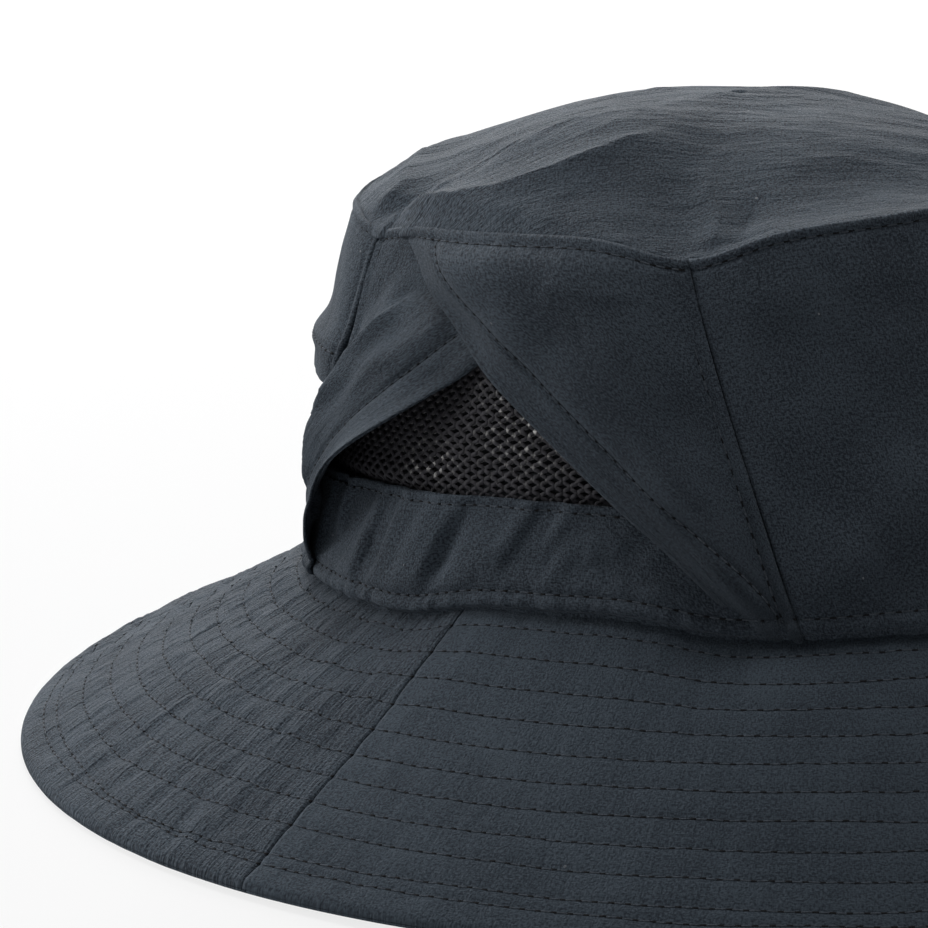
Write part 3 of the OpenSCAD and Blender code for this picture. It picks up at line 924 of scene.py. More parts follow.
SHOULDER_FOLD = tip_path(
    (148, 0.965), (158, 0.972), (167, 0.955), (175, 0.90), (182, 0.79), (188, 0.67), (194, 0.53), (197, 0.38)
)
CORNER_CREASE = tip_path((146, 0.985), (141, 0.91), (129, 0.88), (112, 0.87), (98, 0.8))
FRONT_FOLD = tip_path((213, 0.985), (213, 0.84), (210, 0.68), (206, 0.58))
SECOND_FOLD = tip_path((216.5, 0.985), (218, 0.86), (222, 0.72))
BACK_FOLD = tip_path((150, 0.9), (156, 0.74), (165, 0.5), (150, 0.2))

# Each fold's line, height and reach, and each broad hollow's or swelling's place, height and reach, in mm
TIP_FOLDS = (
    (SHOULDER_FOLD, 3.4, 9),
    (SHOULDER_FOLD, 0.9, 2),
    (CORNER_CREASE, 3.2, 6),
    (FRONT_FOLD, 1.6, 3.4),
    (SECOND_FOLD, -1.4, 3.4),
    (BACK_FOLD, 1.4, 5),
)
TIP_HOLLOWS = ((40, -10, -2.0, 27), (-8, 42, -1.3, 17), (-18, 67, 1.3, 13))


def tip_relief(x, y):
    """Folds of the tip: a shoulder ridge and a crease from the vent's rear corner, upright folds over its
    front corner, broad hollows, and fine wrinkles from side to side."""
    height = sum(fold_along(x, y, path, tall * MM, reach * MM) for path, tall, reach in TIP_FOLDS)
    for middle_x, middle_y, tall, reach in TIP_HOLLOWS:
        away = np.hypot(x - middle_x * MM, y - middle_y * MM)
        height = height + tall * MM * hump(away, 0, reach * MM)
    across = 0.62 * x - 0.78 * y
    along = 0.78 * x + 0.62 * y
    bend = 6 * MM * noise(along / (26 * MM), across / (21 * MM), 61)
    streak = noise((along + bend) / (4.2 * MM), across / (19 * MM), 62)
    sharp = crease((along + bend) / (10 * MM), across / (31 * MM), 63)
    broad = rumple(x / (34 * MM), y / (34 * MM), 64)
    fine = noise((along + bend) / (2.1 * MM), across / (9 * MM), 65)
    high = mix(0.4, 1, ease((0.3 * y / TIP_HALF_LENGTH + x / TIP_HALF_WIDTH + 0.75) / 0.9))
    return height + MM * (high * (0.34 * streak + 0.13 * fine + 0.6 * sharp) + 0.6 * broad)


def tip_surface(angle, share):
    """Dome of the tip: a blend of heights out to the wall's top, a rise that falls off with the third power
    of the way out, folds, and an edge rolled down to the seam."""
    angle, share = np.broadcast_arrays(angle, share)
    overhang = wall_face(angle) - 0.25 * MM
    x, y = tip_place(angle, share, overhang)
    slack = 1 - TIP_FRONT_SLACK * share * np.maximum(0, -np.sin(np.radians(angle)))
    rim = mix((SIDE_HEIGHT + FRONT_HEIGHT) / 2, wall_height(angle), share**2)
    from_edge = (1 - share) * np.hypot(x, y) / np.maximum(share, 1e-6)
    roll = edge_round(from_edge, TIP_ROLL)
    along = np.radians(angle) * TIP_EDGE_RADIUS
    gathers = 0.2 * MM * noise(along / (2.4 * MM), from_edge / (6 * MM), 71)
    gathers = gathers * hump(from_edge, 2 * MM, 3.5 * MM)
    shoulder = -3.6 * MM * hump(share, 0.82, 0.22) - 1.2 * MM * ease(x / (50 * MM)) * ease((1 - share) / 0.3)
    dome = (TIP_RISE - 0.4 * MM) * slack * (1 - share**DOME_POWER) + shoulder
    z = rim + dome + SEAM_GAP + CLOTH + 0.3 * MM
    z = z + roll + gathers + tip_relief(x, y) * ease(from_edge / (5 * MM))
    return placed(x, y, z)


def tip_uv(point):
    """Cloth coordinates of the tip: level place, turned so that its wrinkles run up the second axis."""
    x = point[..., 0]
    y = point[..., 1]
    return np.stack([0.73 * x + 0.65 * y, 0.65 * x - 0.73 * y], axis=-1)


def make_tip():
    """The tip as a disc of rings, closed at its middle."""
    turn = np.radians(np.linspace(0, 90, TIP_ROLL_ROWS))
    edge = 1 - TIP_ROLL / TIP_EDGE_RADIUS * (1 - np.cos(turn))
    shares = np.concatenate([edge, np.linspace(edge[-1], 0.02, TIP_FLAT_ROWS)[1:]])
    angles = np.arange(TIP_COLUMNS) * 360 / TIP_COLUMNS
    around, out = np.meshgrid(angles, shares)
    grid = tip_surface(around, out)
    middle = tip_surface(0.0, 0.0)
    piece = cloth("tip_cloth", grid, tip_uv(grid), CLOTH, (4, 4), TIP_CLOTH, True, (middle, tip_uv(middle)))
    return piece, grid


def panel_folds(angle, k, seed):
    """Soft folds of a wall panel: slanting waves and broad hollows, none at its sewn edges."""
    along = np.radians(angle) * BASE_HALF_WIDTH
    up = k * SIDE_HEIGHT
    slant = along * 0.8 + up * 0.6
    cross = up * 0.8 - along * 0.6
    free = ease(k / 0.15) * ease((1 - k) / 0.15)
    wave = noise(cross / (13 * MM), slant / (55 * MM), seed)
    broad = rumple(along / (38 * MM), up / (30 * MM), seed + 3)
    tug = rumple(along / (9 * MM), up / (14 * MM), seed + 5)
    return MM * free * (0.8 * wave + 0.9 * broad + 0.2 * tug)


def upright_seam(distance, along, seed):
    """Rolled lip and stitched groove beside an upright seam, by distance from the seam."""
    gathers = 0.07 * MM * noise(along / (2.4 * MM), distance / (4 * MM), seed)
    gathers = gathers * hump(distance, 2 * MM, 3 * MM)
    roll = 0.30 * MM * hump(distance, 1.1 * MM, 0.8 * MM) - 0.5 * MM * hump(distance, SEAM_STITCH, 0.6 * MM)
    return roll + gathers - 0.45 * MM * hump(distance, -0.1 * MM, 0.4 * MM)


def wall_rows():
    """Shares of height for a wall piece's rows, from under the brim seam to the tip seam, closer at both."""
    t = np.linspace(0, 1, WALL_ROW_COUNT)
    bunch = t - 0.11 * np.sin(2 * np.pi * t) / (2 * np.pi) * 4
    return mix(-1.1 * MM / SIDE_HEIGHT, 1 - 0.05 * MM / SIDE_HEIGHT, bunch)


WALL_ROWS = wall_rows()


def base_rows(low, high):
    """Shares of height for a vent's lower cloth, closer at the brim seam's lip."""
    lip = 6 * MM / SIDE_HEIGHT
    return np.concatenate([np.linspace(low, lip, 27), np.linspace(lip, high, 35)[1:]])


def front_panel(u, k):
    """Front of the crown between the two vents' front seams; u goes from the right seam to the left one."""
    u, k = np.broadcast_arrays(u, k)
    edge = seam_edge(k) + seam_slit(k)
    angle = mix(180 + edge, 360 - edge, u)
    from_seam = np.minimum(u, 1 - u) * round_length(180 - 2 * edge, k)
    rise = (FLAP_LAYER - 0.15 * MM) * hump(from_seam, 0, 15 * MM) * ease(k / 0.14)
    tuck = rise - 0.35 * MM * hump(from_seam, 0, 0.5 * MM)
    free = ease(from_seam / (14 * MM))
    pull = 1.4 * MM * hump(k, 0.86, 0.08) * hump(from_seam, 15 * MM, 10 * MM)
    offset = CLOTH + wall_lips(angle, k, 81) + 3 * panel_folds(angle, k, 83) * free + tuck + pull
    return wall_point(angle, k, offset)


def back_panel(u, k):
    """Lower back of the crown; u goes from the left vent's rear seam to the right one."""
    u, k = np.broadcast_arrays(u, k)
    edge = seam_edge(k) + seam_slit(k)
    angle = mix(edge, 180 - edge, u)
    from_seam = np.minimum(u, 1 - u) * round_length(180 - 2 * edge, k)
    height = k * wall_height(angle)
    top = BACK_PANEL_HEIGHT - height
    along = np.radians(angle) * BASE_HALF_WIDTH
    hem = -0.35 * MM * hump(top, PANEL_HEM_STITCH, 0.6 * MM) + edge_round(top, 0.6 * MM)
    soft = panel_folds(angle, k, 91) * ease(from_seam / (14 * MM)) * ease(top / (10 * MM)) * 0.8
    offset = CLOTH + base_lip(height, along, 92) + soft + hem - 0.4 * MM * hump(from_seam, 0, 0.6 * MM)
    return wall_point(angle, k, offset)


def back_flap(u, k):
    """Flap over the back vent: sewn in the tip seam and the rear seams, standing off below, with a hem."""
    u, k = np.broadcast_arrays(u, k)
    low = BACK_FLAP_DROP / wall_height(90.0)
    half = 90 - seam_edge(k) - seam_slit(k)
    c = mix(-half, half, u)
    share = (1 - k) / (1 - low)
    side = c / (90 - VENT_HALF_TIP)
    angle = 90 + c
    height = wall_height(angle)
    from_seam = np.minimum(u, 1 - u) * round_length(2 * half, k)
    along = np.radians(angle) * BASE_HALF_WIDTH
    rise = (k - low) * height
    hem = 0.25 * MM * hump(rise, 3 * MM, 3 * MM) - 0.35 * MM * hump(rise, HEM_WIDTH, 0.6 * MM)
    hem = hem + edge_round(rise, 0.8 * MM)
    bag = 0.5 * BACK_PUFF * share**3 * (1 - side**2)
    bag = bag + 2.6 * MM * hump(share, 0.80, 0.11) * (1 - np.abs(side) ** 4)
    ends = 1.4 * MM * hump(np.abs(side), 0.6, 0.2) * ease((share - 0.55) / 0.3)
    ends = ends - 1.1 * MM * hump(share, 0.86, 0.07) * hump(np.abs(side), 0.55, 0.3)
    ends = ends - (FLAP_LAYER + 0.3 * MM * ease((share - 0.15) / 0.25)) * hump(from_seam, 0, 6 * MM)
    waves = 1.2 * MM * noise(along / (17 * MM), rise / (60 * MM), 101) * share * ease(from_seam / (12 * MM))
    soft = panel_folds(angle, k, 103) * ease(from_seam / (12 * MM))
    seam = upright_seam(from_seam, rise, 104)
    lip = tip_lip((1 - k) * height, along, 105)
    offset = FLAP_LAYER + CLOTH + bag + ends + waves + soft + seam + lip + hem
    return wall_point(angle, k, offset)


def vent_base(u, k):
    """Cloth below a side vent's net, under both flaps: soft upright folds and a stitched upper hem."""
    u, k = np.broadcast_arrays(u, k)
    edge = seam_edge(k)
    b = mix(-edge, edge, u)
    angle = 180 + b
    height = k * wall_height(angle)
    top = VENT_BASE_HEIGHT - height
    along = np.radians(angle) * BASE_HALF_WIDTH
    slant = along - 0.55 * height
    waves = 0.7 * noise(slant / (9.5 * MM), height / (40 * MM), 111)
    waves = waves + 1.3 * noise(slant / (4.2 * MM), height / (24 * MM), 113)
    open_part = ease((front_edge(k) - 2 - b) / 9) * ease((b + 37) / 8)
    waves = MM * mix(0.4 * waves + 0.6, 1.5 * waves + 0.6, open_part)
    waves = waves * ease((height - 2 * MM) / (8 * MM)) * mix(0.5, 1, ease(top / (9 * MM)))
    waves = np.maximum(waves, -0.2 * MM)
    foot = 1.0 * MM * (1 - ease((height - 5 * MM) / (5 * MM)))
    hem = -0.32 * MM * hump(top, BASE_HEM_STITCH, 0.5 * MM) + edge_round(top, 0.5 * MM)
    offset = INNER_LAYER + CLOTH + waves + foot + hem + base_lip(height, along, 115) + 0.25 * MM
    return wall_point(angle, k, offset)


def net_place(b, height):
    """Place of a side vent's net: the wall's inner layer, with a slow sag."""
    angle = 180 + b
    k = height / wall_height(angle)
    along = np.radians(b) * BASE_HALF_WIDTH
    sag = 0.9 * MM * rumple(along / (15 * MM), height / (12 * MM), 121) - 0.4 * MM
    pocket = -3.4 * MM * ease((8 - b) / 16) * ease((k - 0.45) / 0.25)
    deepest = mix(-1.5 * MM, -4.8 * MM, ease((height - SWEATBAND_HEIGHT) / (6 * MM)))
    offset = np.maximum(NET_LAYER + np.minimum(sag, 0.35 * MM) + pocket, deepest)
    behind = ease((VENT_BASE_HEIGHT + 2 * MM - height) / (2.5 * MM))
    return wall_point(angle, k, mix(offset, -2.05 * MM, behind))


def back_net_place(c, height):
    """Place of the back vent's net, behind the back flap."""
    angle = 90 + c
    k = height / wall_height(angle)
    along = np.radians(c) * BASE_HALF_WIDTH
    sag = 0.6 * MM * rumple(along / (16 * MM), height / (13 * MM), 131) - 0.3 * MM
    return wall_point(angle, k, NET_LAYER + np.minimum(sag, 0.35 * MM))


def flap_places(u, k, edge, from_edge_on):
    """Places on a side flap between its free edge and its seam, from the edge on or from the seam on.

    Gives degrees from the side's middle, height, length round the side, distance square to the free edge and
    distance from the seam."""
    seam = seam_edge(k) - seam_slit(k)
    start, end = (edge(k), seam) if from_edge_on else (-seam, edge(k))
    off_edge, off_seam = (u, 1 - u) if from_edge_on else (1 - u, u)
    b = mix(start, end, u)
    wide = round_length(end - start, k)
    from_edge = off_edge * wide * edge_slant(edge, k)
    return b, k * wall_height(180 + b), np.radians(b) * BASE_HALF_WIDTH, from_edge, off_seam * wide


def flap_hem(from_edge, roll):
    """Hem of a side flap: its doubled cloth, its stitched groove and its rolled edge."""
    doubled = 0.28 * MM * (1 - ease((from_edge - 6.6 * MM) / (1.2 * MM)))
    return doubled - 0.42 * MM * hump(from_edge, HEM_WIDTH, 0.65 * MM) + edge_round(from_edge, roll)


def front_flap(u, k):
    """Front flap of a side vent, from its free edge, u 0, to the front seam, u 1: a hemmed edge that stands
    off a little, a rolled seam, soft hollows, and lips at the tip and the brim."""
    u, k = np.broadcast_arrays(u, k)
    b, height, along, from_edge, from_seam = flap_places(u, k, front_edge, True)
    hem = flap_hem(from_edge, 1.1 * MM)
    hem = hem - 1.6 * MM * (1 - ease(from_edge / (9 * MM)))
    stand = 1.5 * MM * hump(k, 0.5, 0.3) * (1 - ease(from_edge / (22 * MM)))
    stand = stand + 2.0 * MM * ease(k / 0.2) * ease(from_seam / (16 * MM))
    under = (1 - k) * SIDE_HEIGHT
    stand = stand * ease(under / (5 * MM))
    close = mix(1, ease(from_edge / (11 * MM)), 0.8 * ease((k - 0.6) / 0.2))
    free = ease(from_seam / (10 * MM)) * ease(k / 0.12) * ease((1 - k) / 0.12)
    roll = 3.8 * MM * (1 - np.exp(-((under / (6 * MM)) ** 1.5)))
    roll = roll * ease((k - 0.45) / 0.4) * hump(b, 0, 18)
    hollow = 2.2 * MM * hump(u, 0.6, 0.3) - 1.6 * MM * hump(k, 0.6, 0.14) * hump(b, 8, 11)
    hollow = hollow + fold_along(along, height, FRONT_TUG, 1.0 * MM, 2.6 * MM)
    soft = MM * (1.2 * rumple(along / (22 * MM), height / (18 * MM), 141))
    soft = soft + MM * 0.8 * noise((along + height) / (9 * MM), (along - height) / (26 * MM), 143)
    seam_roll = upright_seam(from_seam, height, 145)
    offset = flap_face(height) + hem + (stand + roll) * close + (hollow + soft) * free + seam_roll
    return wall_point(180 + b, k, offset + wall_lips(180 + b, k, 147))


REAR_CREST = millimetres((-26, 58), (-34, 52), (-40, 46.5), (-44, 39.5), (-46, 32), (-48, 24), (-50, 12))
REAR_RIPPLE = millimetres((-7, 56), (-19, 50), (-27.5, 45.4), (-34, 38.5), (-37, 33))
FRONT_TUG = millimetres((18, 64), (30, 61.5), (41, 62.5))


def rear_flap(u, k):
    """Rear flap of a side vent, from the rear seam, u 0, to its free edge, u 1: its edge stands far off the
    wall, a slanting fold bags out over the seam, and a hollow lies above that."""
    u, k = np.broadcast_arrays(u, k)
    b, height, along, from_edge, from_seam = flap_places(u, k, rear_edge, False)
    climb = np.clip(k / REAR_FLAT_ABOVE, 0, 1)
    puff = REAR_PUFF * u**2 * np.sin(np.pi * climb**1.3) ** 0.9 + 2.4 * MM * u**2 * hump(k, 0.44, 0.09)
    bag = 4.2 * MM * hump(k, 0.40, 0.2) * hump(u, 0.3, 0.26) * ease(u / 0.16)
    fold = fold_along(along, height, REAR_CREST, 3.8 * MM, 3.6 * MM, 0.35) * ease(u / 0.1)
    fold = fold + fold_along(along, height, REAR_RIPPLE, 2.6 * MM, 3.0 * MM, 0.4)
    crest = np.interp(along, REAR_CREST[::-1, 0], REAR_CREST[::-1, 1])
    hollow = np.clip((SIDE_HEIGHT - height) / (SIDE_HEIGHT - crest), 0, 1)
    hollow = hollow * ease((height - crest + 0.8 * MM) / (2.4 * MM))
    hollow = -2.4 * MM * hollow * ease(from_seam / (5 * MM)) * ease((-8 * MM - along) / (12 * MM))
    hollow = hollow - 1.0 * MM * hump(k, 0.84, 0.12) * ease((along + 42 * MM) / (26 * MM))
    join = -0.9 * MM * hump(from_seam, 0, 7 * MM) * ease(k / 0.3) * ease((0.9 - k) / 0.2)
    hem = flap_hem(from_edge, 0.9 * MM)
    free = ease(from_seam / (8 * MM)) * ease(k / 0.12) * ease((1 - k) / 0.12)
    soft = MM * 1.2 * noise((height - 0.7 * along) / (5 * MM), (height + along) / (30 * MM), 151)
    soft = soft + MM * 0.4 * rumple(along / (9 * MM), height / (9 * MM), 153)
    flat = ease((REAR_FLAT_ABOVE + 0.12 - k) / 0.12) + hump(b, -30, 9) * (k > REAR_FLAT_ABOVE)
    seam_roll = upright_seam(from_seam, height, 155)
    offset = CLOTH + puff + bag + fold + hollow + join + hem + soft * free * np.clip(flat, 0, 1)
    return wall_point(180 + b, k, offset + seam_roll + wall_lips(180 + b, k, 157))


def length_uv(angle, k):
    """Cloth coordinates of a wall piece: length round the crown and height."""
    return np.stack(np.broadcast_arrays(np.radians(angle) * WALL_WEAVE_RADIUS, k * SIDE_HEIGHT), axis=-1)


def net(name, place, lows, highs, middles):
    """Knitted net: upright strands that swing to one neighbour and then the other, so that holes open in
    staggered rows. Each strand is a four-sided tube along a clipped sine; all are one array."""
    t = np.linspace(0, 1, NET_RINGS)
    height = mix(lows[:, None], highs[:, None], t[None])
    order = np.arange(len(middles))
    side = np.where(order % 2 == 0, 1, -1)[:, None]
    wave = np.clip(1.7 * np.sin(2 * np.pi * height / NET_SWING), -1, 1)
    loose = 0.12 * noise(height / (1.1 * MM), order[:, None] * 3.7, 165)
    shift = np.degrees((0.36 * side * wave + loose) * NET_PITCH / BASE_HALF_WIDTH)
    b = middles[:, None] + shift
    centre = place(b, height)
    along = unit(np.gradient(centre, axis=1))
    around = unit(place(b + 0.2, height) - place(b - 0.2, height))
    normal = unit(np.cross(around, along))
    across = np.cross(along, normal)
    turn = np.radians(np.array([45, 135, 225, 315]))
    thick = (0.52 + 0.06 * noise(height / (0.8 * MM), order[:, None] * 5.1, 167)) * MM
    ring = across[:, :, None] * np.cos(turn)[:, None] + 0.8 * normal[:, :, None] * np.sin(turn)[:, None]
    points = centre[:, :, None] + ring * thick[:, :, None, None]
    last = (NET_RINGS - 1) * 4
    caps = np.array([[0, 1, 2, 3], [last + 3, last + 2, last + 1, last]])
    faces = np.concatenate([cells(NET_RINGS, 4, 0, True, True), caps])
    quads = (faces[None] + (order * NET_RINGS * 4)[:, None, None]).reshape(-1, 4)
    piece = new_piece(name, points.reshape(-1, 3), quads, NO_TRIANGLES, [NET_YARN])
    # Painted glints: two clusters of pale specks on the yarn, painted where light would show through the
    # holes
    lit = np.maximum(
        hump(middles, -7, 3.5)[:, None] * hump(height, 28.5 * MM, 3.2 * MM),
        0.9 * hump(middles, 9, 6)[:, None] * hump(height, 38 * MM, 7.5 * MM),
    )
    bead = ease((np.abs(np.sin(2 * np.pi * height / NET_SWING)) - 0.75) / 0.2)
    chance = ease((noise(order[:, None] * 0.7, height / (1.1 * MM), 169) + 0.3) / 0.5)
    painted_glint = np.repeat((lit * bead * chance)[:, :, None], 4, axis=2)
    values = piece.data.attributes.new("painted_glint", "FLOAT", "POINT").data
    values.foreach_set("value", painted_glint.astype(np.float32).ravel())
    return piece


def net_area(lows, highs):
    """Cloth in a net: its strands swing, so that laid flat they would cover most of the field they cross."""
    return float((highs - lows).sum() * NET_PITCH) * NET_COVER


def strand_middles(half):
    """Even steps across a net from minus to plus a half angle."""
    return np.arange(-half, half, math.degrees(NET_PITCH / BASE_HALF_WIDTH))


def kept_strands(lows, highs, middles):
    """The strands that are long enough to show."""
    keep = highs - lows > SHORTEST_STRAND
    return lows[keep], highs[keep], middles[keep]


def side_net_strands():
    """Strands of a side vent's net, each from the base cloth up to the tip or the seam."""
    middles = strand_middles(41)
    share = np.clip((VENT_HALF_BASE - np.abs(middles)) / (VENT_HALF_BASE - VENT_HALF_TIP), 0, 1)
    highs = (share * SIDE_NET_TOP) * wall_height(180 + middles)
    return kept_strands(np.full(len(middles), VENT_BASE_HEIGHT - 2.5 * MM), highs, middles)


def back_net_strands():
    """Strands of the back vent's net, from behind the back panel up to the tip or the seam."""
    middles = strand_middles(58)
    half_base = 90 - VENT_HALF_BASE
    half_tip = 90 - VENT_HALF_TIP
    share = np.clip((half_tip - 1 - np.abs(middles)) / (half_tip - half_base), 0, 1)
    height = wall_height(90 + middles)
    lows = np.maximum(BACK_PANEL_HEIGHT - TIP_BINDING_HEIGHT, (1 - share) * height)
    return kept_strands(lows, BACK_NET_TOP * height, middles)


TAPE_ANGLES = np.arange(TAPE_COLUMNS) * 360 / TAPE_COLUMNS


def sweatband_tape():
    """Tape round the inside of the crown's foot, with soft waves and eased edges."""
    around, share = np.meshgrid(TAPE_ANGLES, np.linspace(1, 0, 21))
    height = mix(SEAM_GAP, SWEATBAND_HEIGHT, share)
    ends = np.minimum(share, 1 - share) * SWEATBAND_HEIGHT
    soft = 0.25 * MM * noise(np.radians(around) * 21, height / (18 * MM), 171) + edge_round(ends, 0.5 * MM)
    face = wall_point(around, height / wall_height(around), LINING_LAYER - np.minimum(soft, 0.1 * MM))
    uv = np.stack([np.radians(around) * BASE_HALF_WIDTH, height], axis=-1)
    return cloth("sweatband_tape", face, uv, 0.8 * TAPE, (1, 1), TAPE_CLOTH, True), face


def folded_in_two(count):
    """Way over a tape folded in two: along its outer half, round the fold and back along its inner half, as
    shares of its width and of its depth."""
    flat = np.linspace(0, 1, count)
    turn = np.radians(np.arange(30, 180, 30))
    across = np.concatenate([flat, 1 + 0.05 * np.sin(turn), flat[::-1]])
    depth = np.concatenate([np.zeros(count), (1 - np.cos(turn)) / 2, np.ones(count)])
    return across, depth


def tip_seam_tape():
    """Tape folded over the tip seam's turned edge, inside the crown."""
    rise, depth = folded_in_two(7)
    around, rise = np.meshgrid(TAPE_ANGLES, rise)
    depth = np.broadcast_to(depth[:, None], rise.shape)
    drop = mix(TIP_BINDING_HEIGHT, 2.3 * MM, rise)
    soft = 0.15 * MM * noise(np.radians(around) * 24, depth, 173)
    k = 1 - drop / wall_height(around)
    face = wall_point(around, k, LINING_LAYER + TAPE * (1 - depth) - np.maximum(soft, 0))
    uv = np.stack([np.radians(around) * TIP_HALF_WIDTH, drop + depth * 20 * MM], axis=-1)
    return cloth("tip_seam_tape", face, uv, TAPE_THICK, (1, 1), TAPE_CLOTH, True), face


def vent_seam_tapes():
    """Four upright tapes, each folded over a vent seam's turned edges inside the crown, as one piece."""
    parts = []
    first = 0
    width, depth = folded_in_two(7)
    for mirror in (False, True):
        for way in (-1, 1):
            t, u = np.meshgrid(np.linspace(0, 1, 25), width - 0.5, indexing="ij")
            middle = 180 + way * VENT_HALF_TIP
            low = (SWEATBAND_HEIGHT + SEAM_GAP) / wall_height(middle)
            high = 1 - (TIP_BINDING_HEIGHT + SEAM_GAP) / wall_height(middle)
            k = mix(low, high, t)
            angle = 180 + way * seam_edge(k) + np.degrees(u * SIDE_BINDING_WIDTH / wall_axes(k)[0])
            face = wall_point(angle, k, LINING_LAYER + TAPE * (1 - depth))
            face = mirrored(face) if mirror else face
            uv = np.stack([u * SIDE_BINDING_WIDTH + depth * 20 * MM, t * 40 * MM], axis=-1)
            points, quads, triangles, uvs, _ = cloth_parts(face, uv, TAPE_THICK, (1, 1))
            parts.append((points, quads + first, triangles + first, uvs))
            first += len(points)
    points, quads, triangles, uvs = (np.concatenate(part) for part in zip(*parts))
    piece = new_piece("vent_seam_tapes", points, quads, triangles, [TAPE_CLOTH], uvs, len(quads))
    return piece, face


def finish_piece(
    piece, grid=None, nodes=(), held=None, area=None, strips=1
):
    """Puts a piece on the hat's body, unless it bends, and hides the solids that it stands for; for cloth
    it works out a flat size, which nothing uses: the grid's own area, but never less than a set share
    of its longest row times column."""
    if "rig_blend" not in piece:
        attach(piece, "hat")
    if nodes:
        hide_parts(*nodes)
    if held:
        across, up = grid_span(grid)
        up = up * strips
        found = grid_area(grid) * strips if area is None else area
        found = min(max(found, LEAST_AREA_SHARE * across * up), across * up)


# Each flap's direction out through its hem, where its bend begins, and how far it reaches
FLAP_BENDS = {
    "front": ((-0.942, 0.21, -0.261), 40.8 * MM, 10.5 * MM),
    "rear": ((-0.999, 0.02, 0.028), 72.4 * MM, 15 * MM),
    "back": ((0, 0.838, -0.546), 5.8 * MM, 34.2 * MM),
}


def bend_flap(piece, body, kind, turn):
    """Lets a flap's cloth follow its hem: not at all before one plane, fully past a second. Both are square
    to a direction that points out through the hem and leave every sewn edge behind them."""
    way, start, reach = FLAP_BENDS[kind]
    way = np.array(way) * (MIRROR if turn else 1)
    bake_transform(piece, "hat", body, tuple(way * start), tuple(way * (start + reach)))


def dense_start(count, share):
    """Steps from 0 to 1 that are closer at the start."""
    t = np.linspace(0, 1, count)
    return share * t + (1 - share) * t**2


def wall_cloth(name, surface, us, ks, degrees, turn=False):
    """One cloth of the crown wall on a grid of its surface; degrees is its width in the weave."""
    u, k = np.meshgrid(us, ks)
    grid = surface(u, k)
    uv = length_uv(u * degrees, k)
    if turn:
        grid, uv = mirrored(grid), uv[:, ::-1]
    return cloth(name, grid, uv, CLOTH, (2, 2), CROWN_CLOTH), grid


def level_row(surface, us, k):
    """Row of stitches at one share of height."""
    return sewn_row(surface, us, np.full(len(us), k))


def hang_flap(piece, grid, name, hem, rows, kind, turn=False):
    """Sews a flap's rows, lets its cloth and stitches bend, and hides the flap's solids."""
    threads = stitches(f"{name}_flap_stitches", rows)
    for each in (piece, threads):
        bend_flap(each, f"{name}_edge", kind, turn)
    finish_piece(threads)
    finish_piece(piece, grid, [f"{name}_flap", hem], "hung")


def make_panels():
    """Tip, front panel and lower back panel; gives the panels' rows of stitches."""
    piece, grid = make_tip()
    finish_piece(piece, grid, ["crown_tip"], "stretched")
    columns = np.linspace(0, 1, FRONT_COLUMNS)
    piece, grid = wall_cloth("front_cloth", front_panel, columns, WALL_ROWS, PANEL_DEGREES)
    finish_piece(piece, grid, ["front_panel"], "stretched")
    top = BACK_PANEL_HEIGHT / wall_height(90.0)
    columns = np.linspace(0, 1, BACK_COLUMNS)
    rows = np.linspace(WALL_ROWS[0], top, BACK_ROWS)
    piece, grid = wall_cloth("back_cloth", back_panel, columns, rows, PANEL_DEGREES)
    finish_piece(piece, grid, ["back_panel"], "stretched")
    line = np.linspace(0.004, 0.996, PANEL_LINE)
    foot = BASE_STITCH_RISE / FRONT_HEIGHT
    return [
        level_row(front_panel, line, 1 - TIP_STITCH_DROP / FRONT_HEIGHT),
        level_row(front_panel, line, foot),
        level_row(back_panel, line, foot),
        level_row(back_panel, line, top - PANEL_HEM_STITCH / FRONT_HEIGHT),
    ]


def make_back_vent():
    """Back flap and the net behind it; gives the row of stitches under the tip."""
    low = BACK_FLAP_DROP / wall_height(90.0)
    columns = np.linspace(0, 1, BACK_FLAP_COLUMNS)
    rows = mix(low, WALL_ROWS[-1], dense_start(BACK_FLAP_ROWS, 0.5))
    piece, grid = wall_cloth("back_flap_cloth", back_flap, columns, rows, PANEL_DEGREES)
    line = np.linspace(0.02, 0.98, 300)
    ends = np.linspace(low + 0.02, 0.97, 120)
    near = SEAM_STITCH / (np.radians(2 * (90 - seam_edge(ends))) * wall_axes(ends)[0])
    sewn = [
        level_row(back_flap, line, low + HEM_WIDTH / wall_height(90.0)),
        sewn_row(back_flap, near, ends),
        sewn_row(back_flap, 1 - near, ends),
    ]
    hang_flap(piece, grid, "back", "back_flap_hem", sewn, "back")
    lows, highs, middles = back_net_strands()
    piece = net("back_net", back_net_place, lows, highs, middles)
    field = back_net_place(*np.meshgrid(np.linspace(-57, 57, 40), np.linspace(41 * MM, 74 * MM, 12)))
    area = net_area(lows, highs)
    finish_piece(piece, field, ["back_mesh"], "stretched", area=area)
    return [level_row(back_flap, np.linspace(0.02, 0.98, 400), 1 - TIP_STITCH_DROP / FRONT_HEIGHT)]


